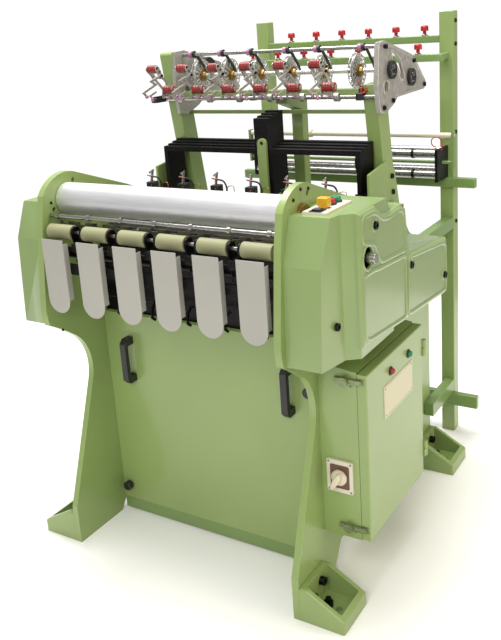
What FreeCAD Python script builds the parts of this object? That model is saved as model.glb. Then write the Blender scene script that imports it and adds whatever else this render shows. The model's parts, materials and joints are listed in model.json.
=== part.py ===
import FreeCAD, Part
import math
import os
from FreeCAD import Vector

# Power loom for narrow tapes: two side plates joined by rails, six tape heads at the front,
# heald frames behind them, a yarn feeder on two leaning uprights and a creel at the back.
# Millimetres. X to the right as the operator faces the loom, Y to the back, Z up.
# The model is laid out from the floor, the mid-plane and the front of the feet, and every
# piece is then moved so that the origin is the bottom centre of the whole loom's box.

# ---------------------------------------------------------------- driving dimensions
HEADS = 6                   # tapes woven side by side
HEAD_PITCH = 130.0          # from one tape to the next at the front
FACE_GAP = 0.3              # gap kept between curved faces that don't bear on each other
RUN_GAP = 0.05              # radial clearance of a shaft in its bore

INNER_WIDTH = 760.0         # between the side plates
PLATE_T = 20.0              # side plate thickness
HUMP_Y, HUMP_Z, HUMP_R = 130.0, 1043.0, 117.0
PLATE_REAR_Y = 1000.0       # rear edge of a side plate at the floor
PLATE_TOP_Z = 985.0         # plate's level top behind the hump

ROLLER_Y, ROLLER_Z, ROLLER_R = 125.0, 1083.0, 46.0
ROLLER_STUB_R = 12.0
ROLLER_END_GAP = 2.0        # roller face to plate

TAPE_Y, TAPE_Z, TAPE_R = 37.0, 1007.0, 21.0
TAPE_SLEEVE_LEN = 88.0
TAPE_SHAFT_R = 6.0

CHUTE_W = 80.0
CHUTE_T = 2.0
CHUTE_Y = -10.0             # front face of a chute
CHUTE_DEPTH = 20.0          # front face to the back edge of its flanges
CHUTE_TOP, CHUTE_BOTTOM = 995.0, 778.0

PANEL_Y = 222.0             # front face of the front panel
PANEL_T = 3.0
PANEL_Z0, PANEL_Z1 = 43.0, 700.0

SHAFT_Y, SHAFT_Z, SHAFT_R = 162.0, 977.0, 14.0
SHAFT_OUT = 22.0            # shaft end beyond the right cover
MOTOR_Y, MOTOR_Z, MOTOR_R = 354.0, 838.0, 72.0
MOTOR_LEN = 230.0
MOTOR_SHAFT_R = 10.0
BIG_PULLEY_R, SMALL_PULLEY_R, PULLEY_W = 66.0, 33.0, 28.0
BELT_T = 8.0
PULLEY_OUT = 24.0           # side plate's outer face to the pulleys

COVER_STEP = 97.0           # depth of the covers' front part beyond the plate
COVER_OUT = 156.0           # depth of the right cover's main part
COVER_WALL = 5.0
COVER_Z0, COVER_Z1 = 727.0, 1095.0
COVER_HOLE_R = 27.0

CAB_Y0, CAB_Y1 = 165.0, 560.0
CAB_Z0, CAB_Z1 = 176.0, 665.0
CAB_DEPTH = 112.0           # cabinet body beyond the plate
DOOR_DEPTH = 27.0
CAB_WALL = 2.5

BED_Y0, BED_Y1, BED_Z, BED_T = 262.0, 572.0, 940.0, 25.0

FRAME_GROUPS = 4            # heald frames move in this many sets
FRAMES_PER_GROUP = 4
FRAME_PITCH, FRAME_T = 6.0, 4.5
FRAME_Y0 = 574.0
FRAME_SIDE_GAP = 24.0       # plate to the end of a heald frame
FRAME_LEG = 14.0
FRAME_Z0, FRAME_Z1 = 925.0, 1162.0
FRAME_RISE = 5.0            # each set stands this much higher than the one in front
FRAME_BAR = 16.0
TONGUE_X, TONGUE_W, TONGUE_TOP = 26.0, 52.0, 1255.0
STRUT_X, STRUT_W, STRUT_LEN = 41.0, 38.0, 150.0

POST_T = 45.0               # upright, along X
POST_D = 72.0               # upright, along Y
POST_LOW_Y, POST_LOW_Z = 758.0, 880.0
POST_LEAN = math.radians(9.3)
POST_L_TOP, POST_R_TOP = 1462.0, 1345.0

FEED_PITCH = 114.0
WHEEL_Y, WHEEL_Z, WHEEL_R = 725.0, 1379.0, 52.0
WHEEL_SHAFT_R = 7.0
FEED_ROD_R = 6.0
TOP_ROD_Y, TOP_ROD_Z = 681.0, 1450.0
LOW_ROD_Y, LOW_ROD_Z = 640.0, 1310.0
FEED_PLATE_T = 12.0

CREEL_Y, CREEL_S, CREEL_TOP = 1166.0, 48.0, 1532.0
CREEL_IN_L, CREEL_OUT_R = 78.0, 30.0 # post centres: inside the left plate, outside the right one
CREEL_BAR = 24.0
KNOB_PITCH = 103.0
FRONT_KNOB_PITCH = 113.0

LETOFF_Y, LETOFF_Z = 1108.0, 1036.0
LEVER_LEN = 92.0

# worked out from the above
HALF = INNER_WIDTH / 2.0
CREEL_L = -HALF + CREEL_IN_L
CREEL_R = HALF + CREEL_OUT_R
OUTER = HALF + PLATE_T
FRAME_HALF = HALF - FRAME_SIDE_GAP
DOOR_X0 = OUTER + CAB_DEPTH
DOOR_X1 = DOOR_X0 + DOOR_DEPTH
COVER_X = OUTER + COVER_OUT
POST_IN = HALF - POST_T

PIECES = {}


# ---------------------------------------------------------------- helpers
def box(x0, x1, y0, y1, z0, z1):
    return Part.makeBox(x1 - x0, y1 - y0, z1 - z0, Vector(x0, y0, z0))


def rod_x(x0, x1, y, z, r):
    return Part.makeCylinder(r, x1 - x0, Vector(x0, y, z), Vector(1, 0, 0))


def rod_y(y0, y1, x, z, r):
    return Part.makeCylinder(r, y1 - y0, Vector(x, y0, z), Vector(0, 1, 0))


def rod_z(z0, z1, x, y, r):
    return Part.makeCylinder(r, z1 - z0, Vector(x, y, z0), Vector(0, 0, 1))


def prism_x(x0, x1, outline):
    """A (y, z) outline pushed along X. An entry of two points is an arc's middle and end."""
    edges = []
    start = outline[0]
    for step in list(outline[1:]) + [outline[0]]:
        a = Vector(x0, start[0], start[1])
        if isinstance(step[0], tuple):
            mid, end = step
            edges.append(Part.Arc(a, Vector(x0, *mid), Vector(x0, *end)).toShape())
        else:
            end = step
            edges.append(Part.LineSegment(a, Vector(x0, *end)).toShape())
        start = end
    return Part.Face(Part.Wire(edges)).extrude(Vector(x1 - x0, 0, 0))


def prism_y(y0, y1, outline):
    """A straight-sided (x, z) outline pushed along Y."""
    points = [Vector(x, y0, z) for x, z in outline]
    face = Part.Face(Part.makePolygon(points + points[:1]))
    return face.extrude(Vector(0, y1 - y0, 0))


def fuse(first, *others):
    return first.fuse(list(others)).removeSplitter()


def cut(body, *tools):
    return body.cut(list(tools)) if tools else body


def round_edges(shape, radius, wanted):
    """Fillet the edges whose middle point passes the test."""
    edges = []
    for edge in shape.Edges:
        middle = edge.valueAt((edge.FirstParameter + edge.LastParameter) / 2.0)
        if wanted(middle, edge):
            edges.append(edge)
    return shape.makeFillet(radius, edges) if edges else shape


def along(edge, axis):
    """True for a straight edge that runs along the axis given as 0, 1 or 2."""
    if not isinstance(edge.Curve, (Part.Line, Part.LineSegment)):
        return False
    return abs(abs(edge.tangentAt(edge.FirstParameter)[axis]) - 1.0) < 1e-6


def mirror_x(shape):
    return shape.mirror(Vector(0, 0, 0), Vector(1, 0, 0))


def spaced(count, pitch, centre=0.0):
    return [centre + pitch * (i - (count - 1) / 2.0) for i in range(count)]


def add(name, *shapes):
    PIECES.setdefault(name, []).extend(shapes)


def cap_screw_x(x, y, z, r, height, outward=1.0):
    """Socket-head cap screw standing on a face that looks along X."""
    direction = Vector(outward, 0, 0)
    head = Part.makeCylinder(r, height, Vector(x, y, z), direction)
    bottom = Vector(x + outward * height * 0.4, y, z)
    socket = Part.makeCylinder(r * 0.5, height * 0.6, bottom, direction)
    return head.cut(socket)


# ---------------------------------------------------------------- side plates and rails
def plate_outline():
    return [
        (0.0, 0.0), (0.0, 125.0), (138.0, 500.0),
        ((139.0, 593.0), (73.0, 677.0)),
        ((35.0, 704.0), (-8.0, 730.0)),
        (-15.0, 776.0), (0.0, 902.0), (13.0, 1012.0), (31.0, 1106.0),
        ((HUMP_Y - 26.0, HUMP_Z + 114.0), (HUMP_Y + HUMP_R * 0.37, HUMP_Z + HUMP_R * 0.93)),
        (395.0, 1071.0), (600.0, PLATE_TOP_Z), (730.0, PLATE_TOP_Z),
        (830.0, 860.0), (PLATE_REAR_Y, 760.0), (PLATE_REAR_Y, 0.0),
        (PLATE_REAR_Y - 160.0, 0.0), (PLATE_REAR_Y - 220.0, 90.0),
        (260.0, 90.0), (200.0, 0.0),
    ]


def side_plate(sign):
    x0 = HALF if sign > 0 else -OUTER
    body = prism_x(x0, x0 + PLATE_T, plate_outline())
    holes = [
        rod_x(x0, x0 + PLATE_T, ROLLER_Y, ROLLER_Z, ROLLER_STUB_R + RUN_GAP),
        rod_x(x0, x0 + PLATE_T, TAPE_Y, TAPE_Z, TAPE_SHAFT_R + RUN_GAP),
        rod_x(x0, x0 + PLATE_T, SHAFT_Y, SHAFT_Z, SHAFT_R + RUN_GAP),
    ]
    for y, z in ((70.0, 1060.0), (160.0, 1130.0)):
        holes.append(rod_x(x0, x0 + PLATE_T, y, z, 7.0))
    if sign > 0:
        holes.append(rod_x(x0, x0 + PLATE_T, MOTOR_Y, MOTOR_Z, MOTOR_SHAFT_R + 6.0))
    return cut(body, *holes)


def make_side_plates():
    add("side_plate_left", side_plate(-1))
    add("side_plate_right", side_plate(1))


RAIL_Y, RAIL_Z = 40.0, 50.0          # section of the rear rails
RAIL_WALL = 3.0
FLOOR_GAP = 3.0                      # under the front rail
REAR_RAIL_Y = POST_LOW_Y + POST_D / 2.0 + 4.0


def square_tube_x(x0, x1, y0, y1, z0, z1, wall):
    tube = box(x0, x1, y0, y1, z0, z1)
    return tube.cut(box(x0, x1, y0 + wall, y1 - wall, z0 + wall, z1 - wall))


def make_cross_rails():
    rear_y = PLATE_REAR_Y - 90.0
    spots = ((PANEL_Y, FLOOR_GAP, PANEL_Z0), (rear_y, 120.0, 120.0 + RAIL_Z),
             (REAR_RAIL_Y, 900.0, 900.0 + RAIL_Z))
    for y, z0, z1 in spots:
        add("cross_rails", square_tube_x(-HALF, HALF, y, y + RAIL_Y, z0, z1, RAIL_WALL))


def make_machine_bed():
    plate = box(-HALF, HALF, BED_Y0, BED_Y1, BED_Z, BED_Z + BED_T)
    skirt = box(-HALF, HALF, BED_Y0, BED_Y0 + 14.0, BED_Z - 60.0, BED_Z)
    add("machine_bed", fuse(plate, skirt))


def make_front_panel():
    sheet = box(-HALF, HALF, PANEL_Y, PANEL_Y + PANEL_T, PANEL_Z0, PANEL_Z1)
    lip = box(-HALF, HALF, PANEL_Y + PANEL_T, PANEL_Y + 26.0, PANEL_Z1 - PANEL_T, PANEL_Z1)
    add("front_panel", fuse(sheet, lip))
    wall_y = PANEL_Y + 18.0
    add("head_rails", box(-HALF, HALF, wall_y, wall_y + 4.0, PANEL_Z1, BED_Z + BED_T))


HANDLE_X, HANDLE_Z0, HANDLE_Z1 = HALF - 97.0, 480.0, 628.0
HANDLE_OUT, HANDLE_BAR, HANDLE_BEVEL = 42.0, 16.0, 14.0


def make_panel_handles():
    for x in (-HANDLE_X, HANDLE_X):
        front = PANEL_Y - HANDLE_OUT
        outline = [(PANEL_Y, HANDLE_Z0), (front + HANDLE_BEVEL, HANDLE_Z0),
                   (front, HANDLE_Z0 + HANDLE_BEVEL), (front, HANDLE_Z1 - HANDLE_BEVEL),
                   (front + HANDLE_BEVEL, HANDLE_Z1), (PANEL_Y, HANDLE_Z1)]
        grip = prism_x(x - 11.0, x + 11.0, outline)
        hand = box(x - 12.0, x + 12.0, front + HANDLE_BAR, PANEL_Y, HANDLE_Z0 + 24.0,
                   HANDLE_Z1 - 24.0)
        bow = round_edges(grip.cut(hand), 2.5, lambda m, e: not along(e, 0) and m.y < PANEL_Y - 1.0)
        add("panel_fittings", bow)


def make_panel_catches():
    for x, z in ((-HALF + 30.0, 95.0), (HALF - 35.0, 560.0)):
        stem = rod_y(PANEL_Y - 6.0, PANEL_Y, x, z, 8.0)
        knob = rod_y(PANEL_Y - 24.0, PANEL_Y - 6.0, x, z, 15.0)
        knob = round_edges(knob, 4.0, lambda m, e: m.y < PANEL_Y - 23.0)
        add("panel_fittings", fuse(stem, knob))


# ---------------------------------------------------------------- feet
FOOT_X, FOOT_Y, FOOT_H, FOOT_WALL = 130.0, 140.0, 98.0, 15.0
FOOT_LIP, FOOT_SOLE = 38.0, 16.0
FOOT_EDGE = 6.0                      # rounding of the outer edges
FOOT_SPOTS = ((0.0, 1.0), (PLATE_REAR_Y - 140.0, 1.0), (0.0, -1.0), (PLATE_REAR_Y - 140.0, -1.0))
ANCHOR_R = 9.0
ANCHOR_OUT = 82.0                    # plate's outer face to the anchor hole


def foot(y0):
    """Open-topped wedge casting against the outer face of the right plate."""
    outline = [(OUTER, 0.0), (OUTER + FOOT_X, 0.0), (OUTER + FOOT_X, FOOT_LIP),
               (OUTER + 24.0, FOOT_H), (OUTER, FOOT_H)]
    body = prism_y(y0, y0 + FOOT_Y, outline)
    body = round_edges(body, FOOT_EDGE, lambda m, e: m.x > OUTER + 1.0 and m.z > 1.0)
    room = box(OUTER + FOOT_WALL, OUTER + FOOT_X - FOOT_WALL, y0 + FOOT_WALL,
               y0 + FOOT_Y - FOOT_WALL, FOOT_SOLE, FOOT_H + 1.0)
    room = round_edges(room, FOOT_EDGE, lambda m, e: along(e, 2))
    middle = y0 + FOOT_Y / 2.0
    return cut(body, room, rod_z(0.0, FOOT_SOLE, OUTER + ANCHOR_OUT, middle, ANCHOR_R))


def make_feet():
    for y0, sign in FOOT_SPOTS:
        casting = foot(y0)
        middle = y0 + FOOT_Y / 2.0
        bolts = []
        for dy, z in ((-30.0, 52.0), (26.0, 66.0)):
            bolts.append(cap_screw_x(OUTER + FOOT_WALL, middle + dy, z, 12.0, 15.0))
        nut = rod_z(FOOT_SOLE, FOOT_SOLE + 13.0, OUTER + 50.0, middle, 13.0)
        stud = rod_z(FOOT_SOLE + 13.0, FOOT_SOLE + 24.0, OUTER + 50.0, middle, 8.0)
        bolts.append(fuse(nut, stud))
        if sign < 0:
            casting = mirror_x(casting)
            bolts = [mirror_x(bolt) for bolt in bolts]
        add("foot_castings", casting)
        add("foot_bolts", *bolts)


# ---------------------------------------------------------------- covers
COVER_CREASE_Z = 980.0               # above it a cover's front leans back
COVER_FRONT_Y, COVER_BACK_Y = 20.0, 330.0
LEFT_COVER_TOP = 1082.0


def front_cover_outline(top):
    return [(COVER_FRONT_Y - 14.0, COVER_Z0), (COVER_FRONT_Y, COVER_CREASE_Z), (62.0, top),
            (COVER_BACK_Y - 30.0, top), (COVER_BACK_Y, 1050.0), (COVER_BACK_Y, COVER_Z0)]


def inset_outline(outline, wall):
    """The outline moved inwards by a wall thickness."""
    points = [Vector(0, y, z) for y, z in outline]
    wire = Part.makePolygon(points + points[:1])
    ring = wire.makeOffset2D(-wall, 2)
    face = Part.Face(ring)
    if face.Area > Part.Face(wire).Area:
        ring = wire.makeOffset2D(wall, 2)
    corners = [vertex.Point for vertex in ring.OrderedVertexes]
    return [(p.y, p.z) for p in corners]


def shell(x_open, x_closed, outline, radius):
    """A box open towards the plate, with rounded outer edges."""
    low, high = min(x_open, x_closed), max(x_open, x_closed)
    outer = prism_x(low, high, outline)
    outer = round_edges(outer, radius, lambda m, e: abs(m.x - x_closed) < 1e-6)
    if x_closed > x_open:
        inner = prism_x(low, high - COVER_WALL, inset_outline(outline, COVER_WALL))
    else:
        inner = prism_x(low + COVER_WALL, high, inset_outline(outline, COVER_WALL))
    return outer, inner


# the right cover's outer face, clockwise from the lower front corner
MAIN_COVER = [(118.0, 754.0), (118.0, COVER_Z1), (217.0, COVER_Z1), (257.0, 1067.0),
              (292.0, 1059.0), (381.0, 1064.0), (415.0, 1044.0), (436.0, 916.0), (738.0, 880.0),
              (738.0, 708.0), (400.0, 732.0)]
FLARE_X, FLARE_Y = 18.0, 100.0       # the front part widens this much up to this depth
STEP_Y = 124.0                       # where the flare has reached the outer face


def flared_block(inset):
    """Plan of the right cover's front part: a flared side that runs out to the outer face."""
    side = OUTER + COVER_STEP - inset
    front = COVER_FRONT_Y - 20.0 + inset
    points = [(OUTER, front), (side, front), (side + FLARE_X, FLARE_Y),
              (COVER_X - inset - 8.0, STEP_Y), (COVER_X - inset - 8.0, COVER_BACK_Y - inset),
              (OUTER, COVER_BACK_Y - inset)]
    corners = [Vector(x, y, COVER_Z0 - 1.0) for x, y in points]
    face = Part.Face(Part.makePolygon(corners + corners[:1]))
    return face.extrude(Vector(0, 0, COVER_Z1 - COVER_Z0 + 2.0))


COVER_SCREWS = ((207.0, 1047.0), (439.0, 879.0), (709.0, 770.0))
FRONT_SCREW_Y, FRONT_SCREW_Z = 67.0, 826.0
SCREW_R, SCREW_H = 10.0, 7.0


def make_cover_right():
    outline = front_cover_outline(COVER_Z1)
    front_out = prism_x(OUTER, COVER_X, outline).common(flared_block(0.0))
    front_in = prism_x(OUTER, COVER_X, inset_outline(outline, COVER_WALL))
    front_in = front_in.common(flared_block(COVER_WALL))
    main_out, main_in = shell(OUTER, COVER_X, MAIN_COVER, 12.0)
    body = cut(front_out.fuse(main_out).removeSplitter(), front_in, main_in)
    notch = rod_x(OUTER - 1.0, OUTER + 14.0, ROLLER_Y, ROLLER_Z, 34.0)
    shaft_hole = rod_x(COVER_X - 30.0, COVER_X + 1.0, SHAFT_Y, SHAFT_Z, COVER_HOLE_R)
    window = box(CONTROL_X0, CONTROL_X1, CONTROL_Y0, CONTROL_Y1, CONTROL_Z, COVER_Z1 + 1.0)
    add("cover_right", cut(body, notch, shaft_hole, window))
    for y, z in COVER_SCREWS:
        add("cover_screws", cap_screw_x(COVER_X, y, z, SCREW_R, SCREW_H))
    side = OUTER + COVER_STEP + FLARE_X * (FRONT_SCREW_Y + SCREW_R) / FLARE_Y
    add("cover_screws", cap_screw_x(side, FRONT_SCREW_Y, FRONT_SCREW_Z, SCREW_R, SCREW_H))


def make_cover_left():
    outline = front_cover_outline(LEFT_COVER_TOP)
    outer, inner = shell(-OUTER, -OUTER - COVER_STEP, outline, 8.0)
    notch = rod_x(-OUTER - 14.0, -OUTER + 1.0, ROLLER_Y, ROLLER_Z, 34.0)
    add("cover_left", cut(outer.cut(inner), notch))
    for y in (FRONT_SCREW_Y, COVER_BACK_Y - 80.0):
        add("cover_screws", cap_screw_x(-OUTER - COVER_STEP, y, FRONT_SCREW_Z, SCREW_R, SCREW_H, -1.0))


# ---------------------------------------------------------------- operator's controls
CONTROL_X0, CONTROL_X1 = OUTER + 24.0, OUTER + 88.0
CONTROL_Y0, CONTROL_Y1, CONTROL_T = 84.0, 226.0, 11.0
CONTROL_Z = COVER_Z1 - COVER_WALL    # the plate fills a window in the cover's top wall
BUTTON_TRAVEL = 4.0
ROCKER_Y = 102.0


def make_controls():
    x = (CONTROL_X0 + CONTROL_X1) / 2.0
    top = CONTROL_Z + CONTROL_T
    plate = box(CONTROL_X0, CONTROL_X1, CONTROL_Y0, CONTROL_Y1, CONTROL_Z, top)
    spots = {"yellow_button": 137.0, "red_button": 173.0, "green_button": 204.0}
    wells = [box(x - 13.0, x + 13.0, ROCKER_Y - 12.0, ROCKER_Y + 12.0, top - 9.0, top + 1.0)]
    for y in spots.values():
        wells.append(rod_z(top - 9.0, top + 1.0, x, y, 12.6))
    add("control_plate", cut(plate, *wells))
    rocker = box(x - 11.0, x + 11.0, ROCKER_Y - 9.0, ROCKER_Y + 9.0, top - 4.0, top + 6.0)
    rocker = round_edges(rocker, 2.0, lambda m, e: m.z > top + 5.0)
    add("rocker_switch", fuse(rocker, rod_x(x - 13.0, x + 13.0, ROCKER_Y, top - 1.0, 1.5)))
    for name, y in spots.items():
        stem = rod_z(top - 8.5 + BUTTON_TRAVEL, top + 6.0, x, y, 12.0)
        if name == "yellow_button":
            head = box(x - 14.0, x + 14.0, y - 11.0, y + 11.0, top + 5.0, top + 26.0)
            head = round_edges(head, 3.0, lambda m, e: m.z > top + 25.0)
        else:
            head = rod_z(top + 5.0, top + 14.0, x, y, 12.0)
            head = round_edges(head, 2.5, lambda m, e: m.z > top + 13.0)
        add(name, fuse(stem, head))


# ---------------------------------------------------------------- take-up and tape rollers
def make_take_up_roller():
    half = HALF - ROLLER_END_GAP
    body = rod_x(-half, half, ROLLER_Y, ROLLER_Z, ROLLER_R)
    stub = rod_x(-OUTER - 12.0, OUTER + 12.0, ROLLER_Y, ROLLER_Z, ROLLER_STUB_R)
    add("take_up_roller", fuse(body, stub))


def bearing(x0, x1, y, z, bore, outer):
    ring = rod_x(x0, x1, y, z, outer)
    return ring.cut(rod_x(x0, x1, y, z, bore + RUN_GAP))


def make_shaft_bearings():
    for sign in (-1.0, 1.0):
        ring = bearing(OUTER, OUTER + 10.0, ROLLER_Y, ROLLER_Z, ROLLER_STUB_R, 28.0)
        main = bearing(OUTER, OUTER + 16.0, SHAFT_Y, SHAFT_Z, SHAFT_R, 34.0)
        pair = [ring, main]
        if sign < 0:
            pair = [mirror_x(piece) for piece in pair]
        add("shaft_bearings", *pair)


GUIDE_ROD_Y, GUIDE_ROD_Z = 52.0, 1048.0


def make_guide_bars():
    rod = rod_x(-HALF, HALF, GUIDE_ROD_Y, GUIDE_ROD_Z, 6.0)
    collars = []
    for x in spaced(HEADS + 1, HEAD_PITCH * 0.9):
        collars.append(rod_x(x - 5.0, x + 5.0, GUIDE_ROD_Y, GUIDE_ROD_Z, 9.0))
    add("guide_rod", fuse(rod, *collars))
    bar = box(-HALF, HALF, 84.0, 90.0, 1000.0, 1024.0)
    notches = []
    for x in spaced(HEADS * 2, HEAD_PITCH / 2.0):
        notches.append(box(x - 12.0, x + 12.0, 83.0, 91.0, 1016.0, 1025.0))
    add("guide_rod", cut(bar, *notches))


DRUM_Y, DRUM_Z = 56.0, 942.0         # rod with a drum between every two heads
DRUM_ROD_R, DRUM_R, DRUM_LEN = 15.0, 26.0, 72.0
EAR_T = 5.0
EAR_INSET = 3.0                      # tape sleeve to the plate that holds its shaft
EAR_R = 18.0


def bracket_ear(x):
    """Plate that reaches up from the drum rod and round the tape rollers' shaft."""
    outline = [(DRUM_Y - EAR_R - 1.0, DRUM_Z), (TAPE_Y - EAR_R, TAPE_Z),
               ((TAPE_Y, TAPE_Z + EAR_R), (TAPE_Y + EAR_R, TAPE_Z)), (DRUM_Y + EAR_R + 1.0, DRUM_Z)]
    ear = prism_x(x, x + EAR_T, outline)
    return ear.cut(rod_x(x, x + EAR_T, TAPE_Y, TAPE_Z, TAPE_SHAFT_R + RUN_GAP))


def make_tape_rollers():
    shaft = rod_x(-OUTER, OUTER, TAPE_Y, TAPE_Z, TAPE_SHAFT_R)
    add("tape_roller_shaft", shaft)
    half = TAPE_SLEEVE_LEN / 2.0
    for x in spaced(HEADS, HEAD_PITCH):
        sleeve = rod_x(x - half, x + half, TAPE_Y, TAPE_Z, TAPE_R)
        sleeve = round_edges(sleeve, 2.0, lambda m, e: not along(e, 0))
        add("tape_rollers", sleeve.cut(rod_x(x - half, x + half, TAPE_Y, TAPE_Z, TAPE_SHAFT_R)))
    pieces = [rod_x(-HALF, HALF, DRUM_Y, DRUM_Z, DRUM_ROD_R)]
    reach = HEAD_PITCH / 2.0 - half - EAR_INSET
    for x in spaced(HEADS - 1, HEAD_PITCH):
        drum = rod_x(x - reach, x - reach + DRUM_LEN, DRUM_Y, DRUM_Z, DRUM_R)
        drum = round_edges(drum, 5.0, lambda m, e: not along(e, 0))
        spacer = rod_x(x - reach, x + reach, TAPE_Y + 2.0, (TAPE_Z + DRUM_Z) / 2.0 + 6.0, 6.0)
        pieces += [drum, bracket_ear(x - reach), bracket_ear(x + reach - EAR_T), spacer]
    add("roller_brackets", fuse(*pieces))


CHUTE_RAIL_Z = 892.0


def make_tape_chutes():
    """Folded channels that carry each tape down, on one flat rail between the plates."""
    back = CHUTE_Y + CHUTE_DEPTH
    radius = CHUTE_W / 2.0
    for x in spaced(HEADS, HEAD_PITCH):
        low = CHUTE_BOTTOM + radius
        face = box(x - radius, x + radius, CHUTE_Y, CHUTE_Y + CHUTE_T, low, CHUTE_TOP)
        end = rod_y(CHUTE_Y, CHUTE_Y + CHUTE_T, x, low, radius)
        left = box(x - radius, x - radius + CHUTE_T, CHUTE_Y, back, low, CHUTE_TOP - 12.0)
        right = box(x + radius - CHUTE_T, x + radius, CHUTE_Y, back, low, CHUTE_TOP - 12.0)
        add("tape_chutes", fuse(face, end, left, right))
    rail = box(-HALF, HALF, back, back + 8.0, CHUTE_RAIL_Z, CHUTE_RAIL_Z + 30.0)
    add("head_rails", rail)


# ---------------------------------------------------------------- drive
def make_main_shaft():
    left_end = -OUTER - 30.0
    right_end = COVER_X + SHAFT_OUT
    shaft = rod_x(left_end, right_end, SHAFT_Y, SHAFT_Z, SHAFT_R)
    shaft = round_edges(shaft, 1.5, lambda m, e: abs(m.x - right_end) < 1e-6)
    x0 = OUTER + PULLEY_OUT
    pulley = rod_x(x0, x0 + PULLEY_W, SHAFT_Y, SHAFT_Z, BIG_PULLEY_R)
    crank = rod_x(-150.0, -110.0, SHAFT_Y, SHAFT_Z, 24.0)
    add("main_shaft", fuse(shaft, pulley, crank))


def belt_loop(grow, x0, x1):
    """Solid under an open belt round both pulleys, grown outwards by a distance."""
    big = BIG_PULLEY_R + grow
    small = SMALL_PULLEY_R + grow
    dy = MOTOR_Y - SHAFT_Y
    dz = MOTOR_Z - SHAFT_Z
    span = math.hypot(dy, dz)
    heading = math.atan2(dz, dy)
    swing = math.acos((big - small) / span)
    corners = []
    for side in (1.0, -1.0):
        angle = heading + side * swing
        corners.append(((SHAFT_Y + big * math.cos(angle), SHAFT_Z + big * math.sin(angle)),
                        (MOTOR_Y + small * math.cos(angle), MOTOR_Z + small * math.sin(angle))))
    back = (SHAFT_Y - big * math.cos(heading), SHAFT_Z - big * math.sin(heading))
    front = (MOTOR_Y + small * math.cos(heading), MOTOR_Z + small * math.sin(heading))
    edges = []
    points = [Vector(x0, *corners[0][0]), Vector(x0, *corners[0][1]), Vector(x0, *corners[1][1]),
              Vector(x0, *corners[1][0])]
    edges.append(Part.LineSegment(points[0], points[1]).toShape())
    edges.append(Part.Arc(points[1], Vector(x0, *front), points[2]).toShape())
    edges.append(Part.LineSegment(points[2], points[3]).toShape())
    edges.append(Part.Arc(points[3], Vector(x0, *back), points[0]).toShape())
    return Part.Face(Part.Wire(edges)).extrude(Vector(x1 - x0, 0, 0))


def make_motor():
    x1 = HALF
    body = rod_x(x1 - 12.0 - MOTOR_LEN, x1 - 12.0, MOTOR_Y, MOTOR_Z, MOTOR_R)
    body = round_edges(body, 8.0, lambda m, e: m.x < x1 - MOTOR_LEN and not along(e, 0))
    flange = box(x1 - 12.0, x1, MOTOR_Y - 64.0, MOTOR_Y + 64.0, MOTOR_Z - 64.0, MOTOR_Z + 64.0)
    motor = fuse(body, flange)
    motor = motor.cut(rod_x(x1 - 60.0, x1, MOTOR_Y, MOTOR_Z, MOTOR_SHAFT_R + RUN_GAP))
    add("drive_motor", motor)
    x0 = OUTER + PULLEY_OUT
    shaft = rod_x(x1 - 59.0, x0 + PULLEY_W, MOTOR_Y, MOTOR_Z, MOTOR_SHAFT_R)
    pulley = rod_x(x0, x0 + PULLEY_W, MOTOR_Y, MOTOR_Z, SMALL_PULLEY_R)
    add("motor_pulley", fuse(shaft, pulley))
    outer = belt_loop(FACE_GAP + BELT_T, x0 + 4.0, x0 + PULLEY_W - 4.0)
    inner = belt_loop(FACE_GAP, x0 + 4.0, x0 + PULLEY_W - 4.0)
    add("drive_belt", outer.cut(inner))


# ---------------------------------------------------------------- cabinet
SWITCH_X0, SWITCH_X1, SWITCH_Z0, SWITCH_Z1 = OUTER + 18.0, OUTER + 94.0, 312.0, 406.0
SWITCH_PLATE_T = 8.0
LATCH_X, LATCH_Z = DOOR_X0 - 34.0, (CAB_Z1 - 25.0, CAB_Z0 + 35.0)
HINGE_X, HINGE_Y = DOOR_X0 + 28.0, CAB_Y1 + 12.0
HINGE_R, HINGE_PIN_R = 7.0, 3.5
HINGE_Z = (CAB_Z0 + 80.0, CAB_Z1 - 80.0)
DOOR_GAP = 1.0
LAMP_Z = CAB_Z1 - 53.0


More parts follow.
